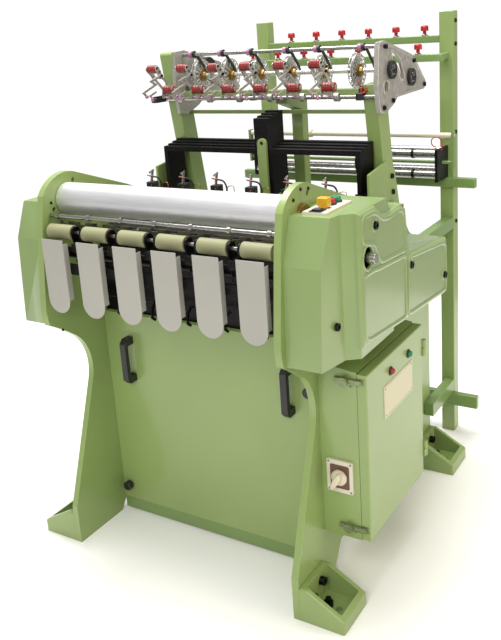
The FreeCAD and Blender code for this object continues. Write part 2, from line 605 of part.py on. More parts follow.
def make_cabinet():
    w = CAB_WALL
    body = box(OUTER, DOOR_X0 - DOOR_GAP, CAB_Y0, CAB_Y1, CAB_Z0, CAB_Z1)
    room = box(OUTER + w, DOOR_X0, CAB_Y0 + w, CAB_Y1 - w, CAB_Z0 + w, CAB_Z1 - w)
    body = body.cut(room)
    roof = prism_y(CAB_Y0, CAB_Y1, [(OUTER, CAB_Z1), (DOOR_X0 - DOOR_GAP, CAB_Z1),
                                    (OUTER, CAB_Z1 + 14.0)])
    leaves = []
    for z in HINGE_Z:
        barrel = rod_z(z, z + 24.0, HINGE_X, HINGE_Y, HINGE_R)
        tab = box(DOOR_X0 - 30.0, HINGE_X, CAB_Y1, CAB_Y1 + 4.0, z, z + 24.0)
        tab = tab.cut(box(DOOR_X0 - DOOR_GAP, HINGE_X, CAB_Y1 - 1.0, CAB_Y1 + DOOR_GAP, z, z + 24.0))
        pin = rod_z(z - 26.0, z + 24.0, HINGE_X, HINGE_Y, HINGE_PIN_R)
        web = box(HINGE_X - 4.0, HINGE_X, CAB_Y1 + DOOR_GAP, HINGE_Y, z, z + 24.0)
        leaves += [barrel, tab, web, pin]
    add("cabinet_body", fuse(body, roof, *leaves))
    switch = box(SWITCH_X0, SWITCH_X1, CAB_Y0 - SWITCH_PLATE_T, CAB_Y0, SWITCH_Z0, SWITCH_Z1)
    switch = round_edges(switch, 4.0, lambda m, e: along(e, 1))
    sx = (SWITCH_X0 + SWITCH_X1) / 2.0
    sz = (SWITCH_Z0 + SWITCH_Z1) / 2.0
    switch = switch.cut(rod_y(CAB_Y0 - SWITCH_PLATE_T, CAB_Y0, sx, sz, 8.0 + RUN_GAP))
    add("switch_plate", switch)
    stem = rod_y(CAB_Y0 - SWITCH_PLATE_T - 12.0, CAB_Y0, sx, sz, 8.0)
    disc = rod_y(CAB_Y0 - SWITCH_PLATE_T - 12.0, CAB_Y0 - SWITCH_PLATE_T - FACE_GAP, sx, sz, 26.0)
    grip = box(sx - 8.0, sx + 8.0, CAB_Y0 - SWITCH_PLATE_T - 34.0, CAB_Y0 - SWITCH_PLATE_T - 12.0,
               sz - 30.0, sz + 24.0)
    grip = round_edges(grip, 5.0, lambda m, e: along(e, 1))
    knob = fuse(stem, disc, grip)
    knob.rotate(Vector(sx, 0, sz), Vector(0, 1, 0), 28.0)
    add("switch_knob", knob)


def make_cabinet_door():
    w = CAB_WALL
    door = box(DOOR_X0, DOOR_X1, CAB_Y0, CAB_Y1, CAB_Z0 + 4.0, CAB_Z1 - 4.0)
    door = round_edges(door, 4.0, lambda m, e: abs(m.x - DOOR_X1) < 1e-6)
    room = box(DOOR_X0 - 1.0, DOOR_X1 - w, CAB_Y0 + w, CAB_Y1 - w, CAB_Z0 + 4.0 + w, CAB_Z1 - 4.0 - w)
    door = door.cut(room)
    for z in HINGE_Z:
        barrel = rod_z(z - 24.0, z - 0.5, HINGE_X, HINGE_Y, HINGE_R)
        tab = box(HINGE_X - 4.0, HINGE_X + 4.0, CAB_Y1 - 1.0, HINGE_Y, z - 24.0, z - 0.5)
        door = door.fuse([barrel, tab]).removeSplitter()
        door = door.cut(rod_z(z - 25.0, z, HINGE_X, HINGE_Y, HINGE_PIN_R + RUN_GAP))
    add("cabinet_door", door)
    for name, z in zip(("latch_upper", "latch_lower"), LATCH_Z):
        pivot = rod_y(CAB_Y0 - 10.0, CAB_Y0 - FACE_GAP, LATCH_X, z, 9.0)
        bar = box(LATCH_X - 30.0, LATCH_X + 50.0, CAB_Y0 - 8.0, CAB_Y0 - 2.0, z - 7.0, z + 7.0)
        bar = round_edges(bar, 5.0, lambda m, e: along(e, 1))
        head = rod_y(CAB_Y0 - 16.0, CAB_Y0 - 8.0, LATCH_X, z, 13.0)
        add(name, fuse(pivot, bar, head))
    for y in (CAB_Y1 - 238.0, CAB_Y1 - 110.0):
        base = rod_x(DOOR_X1, DOOR_X1 + 4.0, y, LAMP_Z, 12.0)
        lens = rod_x(DOOR_X1 + 4.0, DOOR_X1 + 13.0, y, LAMP_Z, 9.0)
        lens = round_edges(lens, 3.0, lambda m, e: m.x > DOOR_X1 + 12.0)
        add("cabinet_lamps", fuse(base, lens))
    add("name_plate", box(DOOR_X1, DOOR_X1 + 1.5, CAB_Y1 - 288.0, CAB_Y1 - 84.0, LAMP_Z - 122.0,
                          LAMP_Z - 28.0))


# ---------------------------------------------------------------- weft units on the bed
WEFT_Y, WEFT_RAIL_Z = 425.0, 1012.0


def make_weft_units():
    rail = box(-HALF, HALF, WEFT_Y, WEFT_Y + 30.0, WEFT_RAIL_Z, WEFT_RAIL_Z + 30.0)
    add("head_rails", rail)
    top = WEFT_RAIL_Z + 30.0
    for x in spaced(HEADS, HEAD_PITCH * 0.95):
        block = box(x - 13.0, x + 13.0, WEFT_Y + 2.0, WEFT_Y + 28.0, top, top + 26.0)
        lever = box(x - 3.0, x + 3.0, WEFT_Y - 34.0, WEFT_Y + 40.0, top + 26.0, top + 32.0)
        horn = box(x - 4.0, x + 4.0, WEFT_Y + 8.0, WEFT_Y + 18.0, top + 32.0, top + 58.0)
        tip = rod_x(x - 16.0, x + 6.0, WEFT_Y + 13.0, top + 60.0, 5.0)
        add("weft_feelers", fuse(block, lever, horn, tip))


# ---------------------------------------------------------------- heald frames
def frame_y(index):
    return FRAME_Y0 + FRAME_PITCH * index


def make_heald_frames():
    for group in range(FRAME_GROUPS):
        for k in range(FRAMES_PER_GROUP):
            y = frame_y(group * FRAMES_PER_GROUP + k)
            top = FRAME_Z1 + FRAME_RISE * group
            spans = ((-FRAME_HALF, FRAME_HALF, top - FRAME_BAR, top),
                     (-FRAME_HALF, -FRAME_HALF + FRAME_LEG, FRAME_Z0, top),
                     (FRAME_HALF - FRAME_LEG, FRAME_HALF, FRAME_Z0, top),
                     (TONGUE_X - TONGUE_W / 2.0, TONGUE_X + TONGUE_W / 2.0, top - FRAME_BAR,
                      TONGUE_TOP + FRAME_RISE * group),
                     (STRUT_X - STRUT_W / 2.0, STRUT_X + STRUT_W / 2.0, top - STRUT_LEN, top))
            bars = [box(x0, x1, y, y + FRAME_T, z0, z1) for x0, x1, z0, z1 in spans]
            add("heald_frames_%d" % (group + 1), fuse(*bars))


GUIDE_GAP = 0.6
GUIDE_Z0, GUIDE_Z1 = 970.0, 1035.0
GUIDE_WALL = 6.0


def make_heald_guides():
    last = frame_y(FRAME_GROUPS * FRAMES_PER_GROUP - 1) + FRAME_T
    y0 = FRAME_Y0 - GUIDE_GAP
    y1 = last + GUIDE_GAP
    x0 = FRAME_HALF + GUIDE_GAP
    x1 = HALF
    y2 = y0 - GUIDE_WALL
    y3 = y1 + GUIDE_WALL
    lip = FRAME_HALF - FRAME_LEG - 4.0
    wall = box(x0, x1, y2, y3, GUIDE_Z0, GUIDE_Z1)
    front = box(lip, x1, y2, y0, GUIDE_Z0, GUIDE_Z1)
    rear = box(lip, x1, y1, y3, GUIDE_Z0, GUIDE_Z1)
    guide = fuse(wall, front, rear)
    add("heald_guides", guide, mirror_x(guide))


# ---------------------------------------------------------------- uprights and ties
def post_y(z):
    """Centre line of an upright at a height."""
    return POST_LOW_Y - (z - POST_LOW_Z) * math.tan(POST_LEAN)


def post_outline(top):
    half = POST_D / 2.0
    low = post_y(POST_LOW_Z)
    high = post_y(top)
    return [(low - half, POST_LOW_Z), (low + half, POST_LOW_Z), (high + half, top),
            (high - half, top)]


EAR_PLATE_T = 8.0
EAR_PLATE = [(560.0, 955.0), (800.0, 900.0), (752.0, 1078.0), (690.0, 1112.0), (560.0, 1096.0)]
EAR_SCREWS = ((724.0, 1062.0), (730.0, 1012.0))


def make_uprights():
    left = prism_x(-HALF, -POST_IN, post_outline(POST_L_TOP))
    left = round_edges(left, 10.0, lambda m, e: along(e, 0) and m.z > POST_L_TOP - 1.0)
    add("upright_left", left)
    add("upright_right", prism_x(POST_IN, HALF, post_outline(POST_R_TOP)))
    ear = prism_x(HALF, HALF + EAR_PLATE_T, EAR_PLATE)
    ear = ear.cut(prism_x(HALF, HALF + EAR_PLATE_T, plate_outline()))
    add("upright_brackets", ear, mirror_x(ear))
    for y, z in EAR_SCREWS:
        screw = cap_screw_x(HALF + EAR_PLATE_T, y, z, 8.0, 6.0)
        add("cover_screws", screw, mirror_x(screw))


MID_X, MID_W = 31.0, 40.0
LINK_X, LINK_W = 32.0, 31.0


def make_middle_upright():
    y0 = REAR_RAIL_Y
    y1 = y0 + RAIL_Y
    post = box(MID_X - MID_W / 2.0, MID_X + MID_W / 2.0, y0, y1, 950.0, 1290.0)
    y_beam = post_y(1315.0)
    arm = prism_x(MID_X - MID_W / 2.0, MID_X + MID_W / 2.0,
                  [(y0, 1255.0), (y1, 1255.0), (y1, 1290.0), (y_beam + 12.0, 1312.0),
                   (y_beam + 12.0, 1286.0)])
    add("upright_middle", fuse(post, arm))
    y = BED_Y1
    z0 = BED_Z + BED_T
    link = box(LINK_X - LINK_W / 2.0, LINK_X + LINK_W / 2.0, y - 12.0, y, z0, 1180.0)
    eye = rod_y(y - 12.0, y, LINK_X, 1180.0, LINK_W / 2.0)
    hole = rod_y(y - 12.0, y, LINK_X, 1180.0, 6.0)
    add("upright_brackets", fuse(link, eye).cut(hole))


def make_top_ties():
    y = post_y(1315.0)
    left = -POST_IN + FEED_PLATE_T
    add("top_ties", box(left, POST_IN, y - 12.0, y + 12.0, 1300.0, 1330.0))
    y = post_y(1252.0)
    add("top_ties", box(-POST_IN, POST_IN, y + 14.0, y + 22.0, 1252.0, 1264.0))


# ---------------------------------------------------------------- yarn feeder
def feeder_outline():
    return [(688.0, 1465.0), (641.0, 1462.0), (625.0, 1342.0), (640.0, 1262.0), (683.0, 1255.0),
            (750.0, 1278.0), (777.0, 1294.0), (1005.0, 1296.0), (1020.0, 1316.0), (926.0, 1398.0),
            (895.0, 1413.0)]


def feeder_plate(x0):
    x1 = x0 + FEED_PLATE_T
    plate = prism_x(x0, x1, feeder_outline())
    slot = prism_x(x0, x1, [(742.0, 1436.0), ((796.0, 1411.0), (838.0, 1345.0)), (813.0, 1338.0),
                            ((780.0, 1388.0), (742.0, 1408.0))])
    holes = [rod_x(x0, x1, 692.0, 1333.0, 16.0),
             rod_x(x0, x1, WHEEL_Y, WHEEL_Z, WHEEL_SHAFT_R + RUN_GAP),
             rod_x(x0, x1, TOP_ROD_Y, TOP_ROD_Z, FEED_ROD_R),
             rod_x(x0, x1, LOW_ROD_Y, LOW_ROD_Z, FEED_ROD_R)]
    return cut(plate, slot, *holes)


def feeder_disc(x, y, z, r):
    disc = rod_x(x, x + 12.0, y, z, r)
    disc = round_edges(disc, 3.0, lambda m, e: m.x > x + 11.0)
    return fuse(disc, rod_x(x + 12.0, x + 18.0, y, z, 9.0))


def make_feeder_plates():
    """One plate inside the left upright, one outside the right upright."""
    add("feeder_plates", feeder_plate(HALF), feeder_plate(-POST_IN))
    right = HALF + FEED_PLATE_T
    left = -POST_IN + FEED_PLATE_T
    add("feeder_discs", feeder_disc(right, WHEEL_Y, WHEEL_Z, 27.0),
        feeder_disc(right, 880.0, 1344.0, 27.0), feeder_disc(left, 815.0, 1388.0, 46.0))
    for y, z in ((690.0, 1448.0), (912.0, 1392.0), (1000.0, 1310.0), (668.0, 1275.0),
                 (738.0, 1288.0)):
        add("cover_screws", cap_screw_x(right, y, z, 7.0, 6.0))


LOW_ROD_OUT = 50.0                   # the lower rod runs on past the left upright


def make_feeder_rods():
    end = HALF + FEED_PLATE_T
    add("feeder_rods", rod_x(-POST_IN, end, TOP_ROD_Y, TOP_ROD_Z, FEED_ROD_R))
    add("feeder_rods", rod_x(-HALF - LOW_ROD_OUT, end, LOW_ROD_Y, LOW_ROD_Z, FEED_ROD_R))


WHEEL_W = 22.0
HUB_R, HUB_W = 13.0, 34.0
RIM_T = 4.0
SPOKES = 10


def make_feed_wheels():
    shaft = rod_x(-POST_IN, HALF + FEED_PLATE_T, WHEEL_Y, WHEEL_Z, WHEEL_SHAFT_R)
    pieces = [shaft]
    for x in spaced(HEADS, FEED_PITCH):
        centre = Vector(x - WHEEL_W / 2.0, WHEEL_Y, WHEEL_Z)
        cone = Part.makeCone(WHEEL_R, WHEEL_R - 6.0, WHEEL_W, centre, Vector(1, 0, 0))
        core = Part.makeCone(WHEEL_R - RIM_T, WHEEL_R - 6.0 - RIM_T, WHEEL_W, centre, Vector(1, 0, 0))
        hub = rod_x(x - HUB_W / 2.0, x + HUB_W / 2.0, WHEEL_Y, WHEEL_Z, HUB_R)
        pieces += [cone.cut(core), hub]
        for turn in range(SPOKES):
            spoke = box(x - 2.0, x + 2.0, WHEEL_Y - 2.5, WHEEL_Y + 2.5, WHEEL_Z + HUB_R - 2.0,
                        WHEEL_Z + WHEEL_R - RIM_T - 1.0)
            spoke.rotate(Vector(x, WHEEL_Y, WHEEL_Z), Vector(1, 0, 0), 360.0 / SPOKES * turn)
            pieces.append(spoke)
    add("feed_wheels", fuse(*pieces))


ARM_T, ARM_W = 5.0, 12.0
CLAMP_W, CLAMP_WALL = 16.0, 7.0
ROLLER_SPOTS = (                     # roller centre, radius and length, from the rod outwards
    ((556.0, 1348.0), 14.0, 40.0),
    ((482.0, 1419.0), 13.0, 34.0),
)
ARM_OFFSET = 36.0                    # wheel centre to the arm on its left


def bar_between(x0, x1, start, end, height):
    """Flat bar along a line in the YZ plane."""
    dy = end[0] - start[0]
    dz = end[1] - start[1]
    length = math.hypot(dy, dz)
    ny = -dz / length * height / 2.0
    nz = dy / length * height / 2.0
    return prism_x(x0, x1, [(start[0] + ny, start[1] + nz), (start[0] - ny, start[1] - nz),
                            (end[0] - ny, end[1] - nz), (end[0] + ny, end[1] + nz)])


def make_feeder_arms():
    for middle in spaced(HEADS, FEED_PITCH):
        x = middle - ARM_OFFSET
        pieces = [rod_x(x, x + CLAMP_W, LOW_ROD_Y, LOW_ROD_Z, FEED_ROD_R + CLAMP_WALL)]
        start = (LOW_ROD_Y - 10.0, LOW_ROD_Z)
        for centre, radius, length in ROLLER_SPOTS:
            pieces.append(bar_between(x, x + ARM_T, start, centre, ARM_W))
            start = centre
            roller = rod_x(x + ARM_T, x + ARM_T + length, *centre, radius)
            add("feeder_rollers", round_edges(roller, 3.0, lambda m, e: not along(e, 0)))
        bore = rod_x(x, x + CLAMP_W, LOW_ROD_Y, LOW_ROD_Z, FEED_ROD_R)
        add("feeder_arms", fuse(*pieces).cut(bore))


# ---------------------------------------------------------------- creel
def make_creel():
    half = CREEL_S / 2.0
    rear = CREEL_Y + CREEL_S
    for x in (CREEL_L, CREEL_R):
        add("creel_posts", box(x - half, x + half, CREEL_Y, rear, 0.0, CREEL_TOP))
    left_in = CREEL_L + half
    right_in = CREEL_R - half
    bars = []
    bars.append(box(left_in, right_in, CREEL_Y, CREEL_Y + CREEL_BAR, 1431.0, 1431.0 + CREEL_BAR))
    front_y = 1080.0
    bars.append(box(CREEL_L - half, CREEL_R + half, front_y - CREEL_BAR, front_y, 1376.0,
                    1376.0 + CREEL_BAR))
    for x in (CREEL_L, CREEL_R):
        bars.append(box(x - 10.0, x + 10.0, front_y, CREEL_Y, 1378.0, 1398.0))
    low_y = CREEL_Y - CREEL_BAR
    bars.append(box(CREEL_L - 106.0, CREEL_R + 106.0, low_y, CREEL_Y, 942.0, 975.0))
    bars.append(box(-OUTER - 40.0, CREEL_R + 116.0, low_y, CREEL_Y, 118.0, 165.0))
    add("creel_beams", *bars)
    side = OUTER
    width = CREEL_R + half - OUTER
    ties = []
    ties.append(box(side, side + width, PLATE_REAR_Y - 60.0, CREEL_Y, 165.0, 213.0))
    ties.append(box(-side - width, -side, PLATE_REAR_Y - 60.0, CREEL_Y, 165.0, 213.0))
    ties.append(box(side, side + width, 800.0, CREEL_Y, 790.0, 832.0))
    add("creel_beams", *ties)
    for x in spaced(HEADS, KNOB_PITCH, 74.0):
        add("creel_knobs", mushroom(x, CREEL_Y + CREEL_BAR / 2.0, 1431.0 + CREEL_BAR))
    for x in spaced(HEADS + 1, FRONT_KNOB_PITCH * 0.94, 30.0):
        add("creel_knobs", mushroom(x, front_y - CREEL_BAR / 2.0, 1376.0 + CREEL_BAR))


def mushroom(x, y, z):
    stem = rod_z(z, z + 16.0, x, y, 6.0)
    cap = rod_z(z + 16.0, z + 34.0, x, y, 13.0)
    cap = round_edges(cap, 6.0, lambda m, e: m.z > z + 33.0)
    return fuse(stem, cap)


# ---------------------------------------------------------------- let-off rollers
LETOFF_PLATE_T = 10.0
TUBE_R = 14.0
LEVER_T = 8.0
LETOFF_ROLLER_R = 9.0


def make_letoff():
    right = CREEL_R
    left = CREEL_L
    y0 = CREEL_Y - CREEL_BAR
    z0 = 975.0
    t = LETOFF_PLATE_T / 2.0
    for x in (left, right):
        plate = box(x - t, x + t, LETOFF_Y - 50.0, CREEL_Y, z0, 1085.0)
        pivot = rod_x(x - t, x + t, LETOFF_Y, LETOFF_Z, 6.0 + RUN_GAP)
        add("letoff_plates", plate.cut(pivot))
    for y, z in ((1072.0, 1000.0), (1072.0, 1070.0), (1144.0, 1070.0), (1144.0, 1002.0)):
        add("letoff_tubes", rod_x(left + t, right - t, y, z, TUBE_R))
    top_z = LETOFF_Z + LEVER_LEN
    out_r = right + t + 34.0
    out_l = left - t - 34.0
    shaft = rod_x(out_l - LEVER_T, out_r + LEVER_T, LETOFF_Y, LETOFF_Z, 6.0)
    levers = [shaft]
    for x in (out_l - LEVER_T, out_r):
        arm = box(x, x + LEVER_T, LETOFF_Y - 11.0, LETOFF_Y + 11.0, LETOFF_Z - 16.0, top_z + 12.0)
        arm = arm.cut(rod_x(x, x + LEVER_T, LETOFF_Y, top_z, 5.0 + RUN_GAP))
        levers.append(arm)
    add("letoff_levers", fuse(*levers))
    roller = rod_x(out_l + 1.0, out_r - 1.0, LETOFF_Y, top_z, LETOFF_ROLLER_R)
    stub = rod_x(out_l - LEVER_T, out_r + LEVER_T, LETOFF_Y, top_z, 5.0)
    collars = []
    for x in (left + 210.0, right - 240.0):
        collars.append(rod_x(x, x + 12.0, LETOFF_Y, top_z, LETOFF_ROLLER_R + 5.0))
    add("letoff_roller", fuse(roller, stub, *collars))


# ---------------------------------------------------------------- build and write
def build_all():
    make_side_plates()
    make_cross_rails()
    make_machine_bed()
    make_front_panel()
    make_panel_handles()
    make_panel_catches()
    make_feet()
    make_cover_right()
    make_cover_left()
    make_controls()
    make_take_up_roller()
    make_shaft_bearings()
    make_guide_bars()
    make_tape_rollers()
    make_tape_chutes()
    make_main_shaft()
    make_motor()
    make_cabinet()
    make_cabinet_door()
    make_weft_units()
    make_heald_frames()
    make_heald_guides()
    make_uprights()
    make_middle_upright()
    make_top_ties()
    make_feeder_plates()
    make_feeder_rods()
    make_feed_wheels()
    make_feeder_arms()
    make_creel()
    make_letoff()


def origin_shift():
    """From the layout's origin to the bottom centre of the whole loom's box."""
    whole = FreeCAD.BoundBox()
    for shapes in PIECES.values():
        for shape in shapes:
            whole.add(shape.BoundBox)
    return Vector(-whole.Center.x, -whole.Center.y, -whole.ZMin)


def write_parts():
    os.makedirs("parts", exist_ok=True)
    shift = origin_shift()
    for name, shapes in PIECES.items():
        moved = [shape.translated(shift) for shape in shapes]
        node = moved[0] if len(moved) == 1 else Part.makeCompound(moved)
        node.exportStep("parts/%s.step" % name)
    print("nodes", len(PIECES), "shift", tuple(round(v, 3) for v in shift))


build_all()
write_parts()
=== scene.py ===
import json
import math

import bmesh
import bpy
from mathutils import Matrix, Vector

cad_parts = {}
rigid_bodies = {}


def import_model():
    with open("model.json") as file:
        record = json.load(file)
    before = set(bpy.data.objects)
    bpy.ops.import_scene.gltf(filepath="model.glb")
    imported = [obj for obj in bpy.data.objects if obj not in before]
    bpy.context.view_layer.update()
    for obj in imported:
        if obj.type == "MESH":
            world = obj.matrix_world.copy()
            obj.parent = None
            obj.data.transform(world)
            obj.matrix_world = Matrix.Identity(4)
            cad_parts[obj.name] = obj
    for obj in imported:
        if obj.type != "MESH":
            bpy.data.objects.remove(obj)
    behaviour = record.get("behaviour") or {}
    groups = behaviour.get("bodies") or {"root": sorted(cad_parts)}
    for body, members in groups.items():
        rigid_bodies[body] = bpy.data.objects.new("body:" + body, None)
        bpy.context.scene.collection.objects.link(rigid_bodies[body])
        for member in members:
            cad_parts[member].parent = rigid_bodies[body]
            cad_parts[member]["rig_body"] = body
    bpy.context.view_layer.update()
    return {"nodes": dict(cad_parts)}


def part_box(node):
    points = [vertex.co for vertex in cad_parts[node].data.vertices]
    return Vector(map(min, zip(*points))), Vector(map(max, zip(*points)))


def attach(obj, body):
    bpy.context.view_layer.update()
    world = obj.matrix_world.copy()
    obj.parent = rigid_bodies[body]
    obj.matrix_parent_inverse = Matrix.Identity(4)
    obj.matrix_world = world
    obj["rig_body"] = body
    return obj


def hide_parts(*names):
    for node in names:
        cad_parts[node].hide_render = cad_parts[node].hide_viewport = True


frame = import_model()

# The loom's own layout has X = 0 midway between the side plates, Y = 0 at the front of the
# feet and Z = 0 on the floor. The frame's origin is the bottom centre of the whole box, so
# the layout's zero is found from the side plates.
MM = 1000.0                          # millimetres in a metre
PLATE_SET_BACK = 0.015               # metres from the front of the feet to the plates' lowest Y
LEFT_LOW, LEFT_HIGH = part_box("side_plate_left")
RIGHT_LOW, RIGHT_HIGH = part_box("side_plate_right")
MID_X = (LEFT_HIGH[0] + RIGHT_LOW[0]) / 2.0
FRONT_Y = LEFT_LOW[1] + PLATE_SET_BACK
PLATE_IN = (RIGHT_LOW[0] - LEFT_HIGH[0]) / 2.0
PLATE_OUT = (RIGHT_HIGH[0] - LEFT_LOW[0]) / 2.0


def at(x, y, z):
    """A place of the loom's layout, given in millimetres, in the frame's metres."""
    return Vector((MID_X + x / MM, FRONT_Y + y / MM, z / MM))


# ---------------------------------------------------------------- shader writing
class Value:
    """A number socket that takes part in Python expressions."""

    def __init__(self, paint, socket):
        self.paint = paint
        self.socket = socket

    def _math(self, operation, first, second):
        return self.paint.node("ShaderNodeMath", {"operation": operation}, {0: first, 1: second})

    def __add__(self, other):
        return self._math("ADD", self, other)

    __radd__ = __add__

    def __sub__(self, other):
        return self._math("SUBTRACT", self, other)

    def __rsub__(self, other):
        return self._math("SUBTRACT", other, self)

    def __mul__(self, other):
        return self._math("MULTIPLY", self, other)

    __rmul__ = __mul__

    def clamp(self):
        return self.paint.node("ShaderNodeClamp", {}, {"Value": self})


class Paint:
    """One material's node tree."""

    def __init__(self, name):
        self.material = bpy.data.materials.new(name)
        self.material.use_nodes = True
        self.tree = self.material.node_tree
        self.shader = self.tree.nodes["Principled BSDF"]
        place = self.tree.nodes.new("ShaderNodeTexCoord")
        self.where = place.outputs["Object"]

    def link(self, value, socket):
        if isinstance(value, Value):
            value = value.socket
        if isinstance(value, bpy.types.NodeSocket):
            self.tree.links.new(value, socket)
        else:
            socket.default_value = value

    def node(self, kind, settings=None, inputs=None, out=0):
        made = self.tree.nodes.new(kind)
        for key, setting in (settings or {}).items():
            if key == "stops":
                ramp = made.color_ramp
                while len(ramp.elements) < len(setting):
                    ramp.elements.new(0.5)
                for element, (position, colour) in zip(ramp.elements, setting):
                    element.position = position
                    element.color = colour
            else:
                setattr(made, key, setting)
        for key, value in (inputs or {}).items():
            self.link(value, made.inputs[key])
        return Value(self, made.outputs[out])

    def stretched(self, x, y, z):
        """The place on the object, scaled along each axis."""
        made = self.node("ShaderNodeVectorMath", {"operation": "MULTIPLY"},
                         {0: self.where, 1: (x, y, z)})
        return made.socket

    def noise(self, scale, detail=3.0, roughness=0.55, where=None):
        inputs = {"Vector": where or self.where, "Scale": scale, "Detail": detail,
                  "Roughness": roughness}
        return self.node("ShaderNodeTexNoise", {}, inputs)

    def axis(self, which):
        """One coordinate of the place on the object."""
        return self.node("ShaderNodeSeparateXYZ", {}, {0: self.where}, "XYZ".index(which))

    def ramp(self, value, low, high):
        """0 below low, 1 above high."""
        inputs = {"Value": value, "From Min": low, "From Max": high}
        return self.node("ShaderNodeMapRange", {"clamp": True}, inputs)

    def mix(self, share, first, second):
        settings = {"data_type": "RGBA"}
        return self.node("ShaderNodeMix", settings, {0: share, 6: first, 7: second}, 2)

    def bump(self, height, strength, distance):
        inputs = {"Height": height, "Strength": strength, "Distance": distance}
        made = self.node("ShaderNodeBump", {}, inputs)
        self.link(made, self.shader.inputs["Normal"])

    def finish(self, colour, roughness, metallic=0.0, **fixed):
        self.link(colour, self.shader.inputs["Base Color"])
        self.link(roughness, self.shader.inputs["Roughness"])
        self.link(metallic, self.shader.inputs["Metallic"])
        for key, value in fixed.items():
            self.shader.inputs[key.replace("_", " ")].default_value = value
        return self.material


def rgb(red, green, blue):
    """A colour seen on the object, from 0 to 255, as the shader's linear numbers."""
    linear = []
    for part in (red, green, blue):
        part = part / 255.0
        linear.append(part / 12.92 if part <= 0.04045 else ((part + 0.055) / 1.055) ** 2.4)
    return (*linear, 1.0)


def shade(colour, factor):
    """The same colour, lighter or darker."""
    return tuple(min(1.0, part * factor) for part in colour[:3]) + (1.0,)


def enamel(name, body, gloss=0.33, coat=0.25):
    """Sprayed machine enamel: faint orange peel, slow clouding, dust gathered low down."""
    paint = Paint(name)
    clouds = paint.noise(2.3, 4.0)
    specks = paint.noise(140.0, 2.0)
    low = 1.0 - paint.ramp(paint.axis("Z"), 0.0, 0.22)
    dust = (low * paint.ramp(paint.noise(19.0, 5.0), 0.4, 0.8) * 0.22).clamp()
    tone = paint.mix(paint.ramp(clouds, 0.3, 0.7), shade(body, 0.93), shade(body, 1.06))
    tone = paint.mix(paint.ramp(specks, 0.62, 0.8) * 0.1, tone, shade(body, 0.7))
    tone = paint.mix(dust, tone, rgb(120, 114, 88))
    paint.bump(paint.noise(900.0, 1.0), 0.05, 0.0004)
    rough = gloss + (clouds - 0.5) * 0.1 + dust * 0.4
    return paint.finish(tone, rough.clamp(), 0.0, Coat_Weight=coat, Coat_Roughness=0.12)


def metal(name, body, dark, rough=0.3, stretch=(1.0, 1.0, 1.0), scale=90.0, depth=0.04, metallic=1.0):
    """Machined metal with fine tool marks along one direction and light smudges."""
    paint = Paint(name)
    marks = paint.noise(scale, 3.0, 0.6, paint.stretched(*stretch))
    smudge = paint.noise(9.0, 4.0)
    tone = paint.mix(paint.ramp(marks, 0.25, 0.8), dark, body)
    tone = paint.mix(paint.ramp(smudge, 0.45, 0.8) * 0.25, tone, dark)
    paint.bump(marks, depth, 0.0006)
    roughness = rough + (smudge - 0.5) * 0.2 + (marks - 0.5) * 0.1
    return paint.finish(tone, roughness.clamp(), metallic)


def plastic(name, body, rough=0.35, grain=350.0, depth=0.05, wear=0.12):
    """Moulded plastic or painted small part: fine grain and faint handling marks."""
    paint = Paint(name)
    marks = paint.noise(24.0, 5.0)
    tint = tuple(min(1.0, part * 1.25 + 0.02) for part in body[:3]) + (1.0,)
    tone = paint.mix(paint.ramp(marks, 0.45, 0.8) * wear, body, tint)
    paint.bump(paint.noise(grain, 2.0), depth, 0.0005)
    return paint.finish(tone, (rough + (marks - 0.5) * 0.2).clamp(), 0.0)


GREEN = enamel("apple_green_enamel", rgb(134, 155, 92))
DARK_GREEN = enamel("shop_green_enamel", rgb(112, 138, 78))
COVER_GREEN = enamel("cover_green_enamel", rgb(130, 151, 95), 0.26, 0.45)
GREY_ENAMEL = enamel("warm_grey_enamel", rgb(162, 160, 152), 0.45, 0.1)
BLACK_STEEL = metal("blackened_steel", rgb(58, 56, 56), rgb(26, 25, 26), 0.42, (1.0, 6.0, 6.0))
IRON = metal("dark_casting", rgb(64, 62, 58), rgb(34, 32, 30), 0.6, (1, 1, 1), 60.0, 0.12)
SATIN = metal("satin_aluminium", rgb(238, 238, 240), rgb(222, 222, 226), 0.46, (0.4, 14.0, 14.0), 30.0,
              0.02, 0.85)
PLATE_METAL = metal("feeder_aluminium", rgb(206, 202, 196), rgb(160, 156, 150), 0.46, (6, 1, 1), 70.0,
                    0.04, 0.7)
BRIGHT = metal("bright_steel", rgb(206, 204, 200), rgb(140, 138, 134), 0.26, (1.0, 10.0, 10.0))
CHROME = metal("chrome", rgb(238, 236, 232), rgb(206, 204, 200), 0.24, (8, 1, 1), 120.0, 0.02, 0.8)
BRASS = metal("bearing_brass", rgb(190, 152, 88), rgb(120, 92, 48), 0.35, (1, 8, 8))
LATCH_METAL = metal("green_plated_steel", rgb(150, 162, 118), rgb(92, 102, 66), 0.38, (1, 4, 4), 60.0,
                    0.06, 0.5)
OLIVE_RUBBER = plastic("olive_rubber", rgb(138, 138, 104), 0.6, 500.0, 0.12)
BELT_RUBBER = plastic("belt_rubber", rgb(30, 30, 30), 0.7)
BLACK_PLASTIC = plastic("black_plastic", rgb(30, 29, 29), 0.42)
CREAM_PLASTIC = plastic("cream_plastic", rgb(206, 200, 182), 0.35)
KNOB_CREAM = plastic("knob_cream", rgb(206, 196, 172), 0.3)
YELLOW = plastic("yellow_cap", rgb(206, 158, 30), 0.25)
RED = plastic("red_cap", rgb(164, 24, 26), 0.25)
TEAL = plastic("green_cap", rgb(24, 118, 84), 0.25)
RED_BROWN = plastic("red_brown_roller", rgb(126, 36, 32), 0.3)
PINK_CERAMIC = plastic("pink_ceramic", rgb(168, 112, 150), 0.22)
BROWN_FIELD = plastic("brown_print", rgb(96, 66, 50), 0.4)
BLACK_RUBBER = plastic("black_rubber", rgb(30, 30, 31), 0.6, 300.0, 0.1)
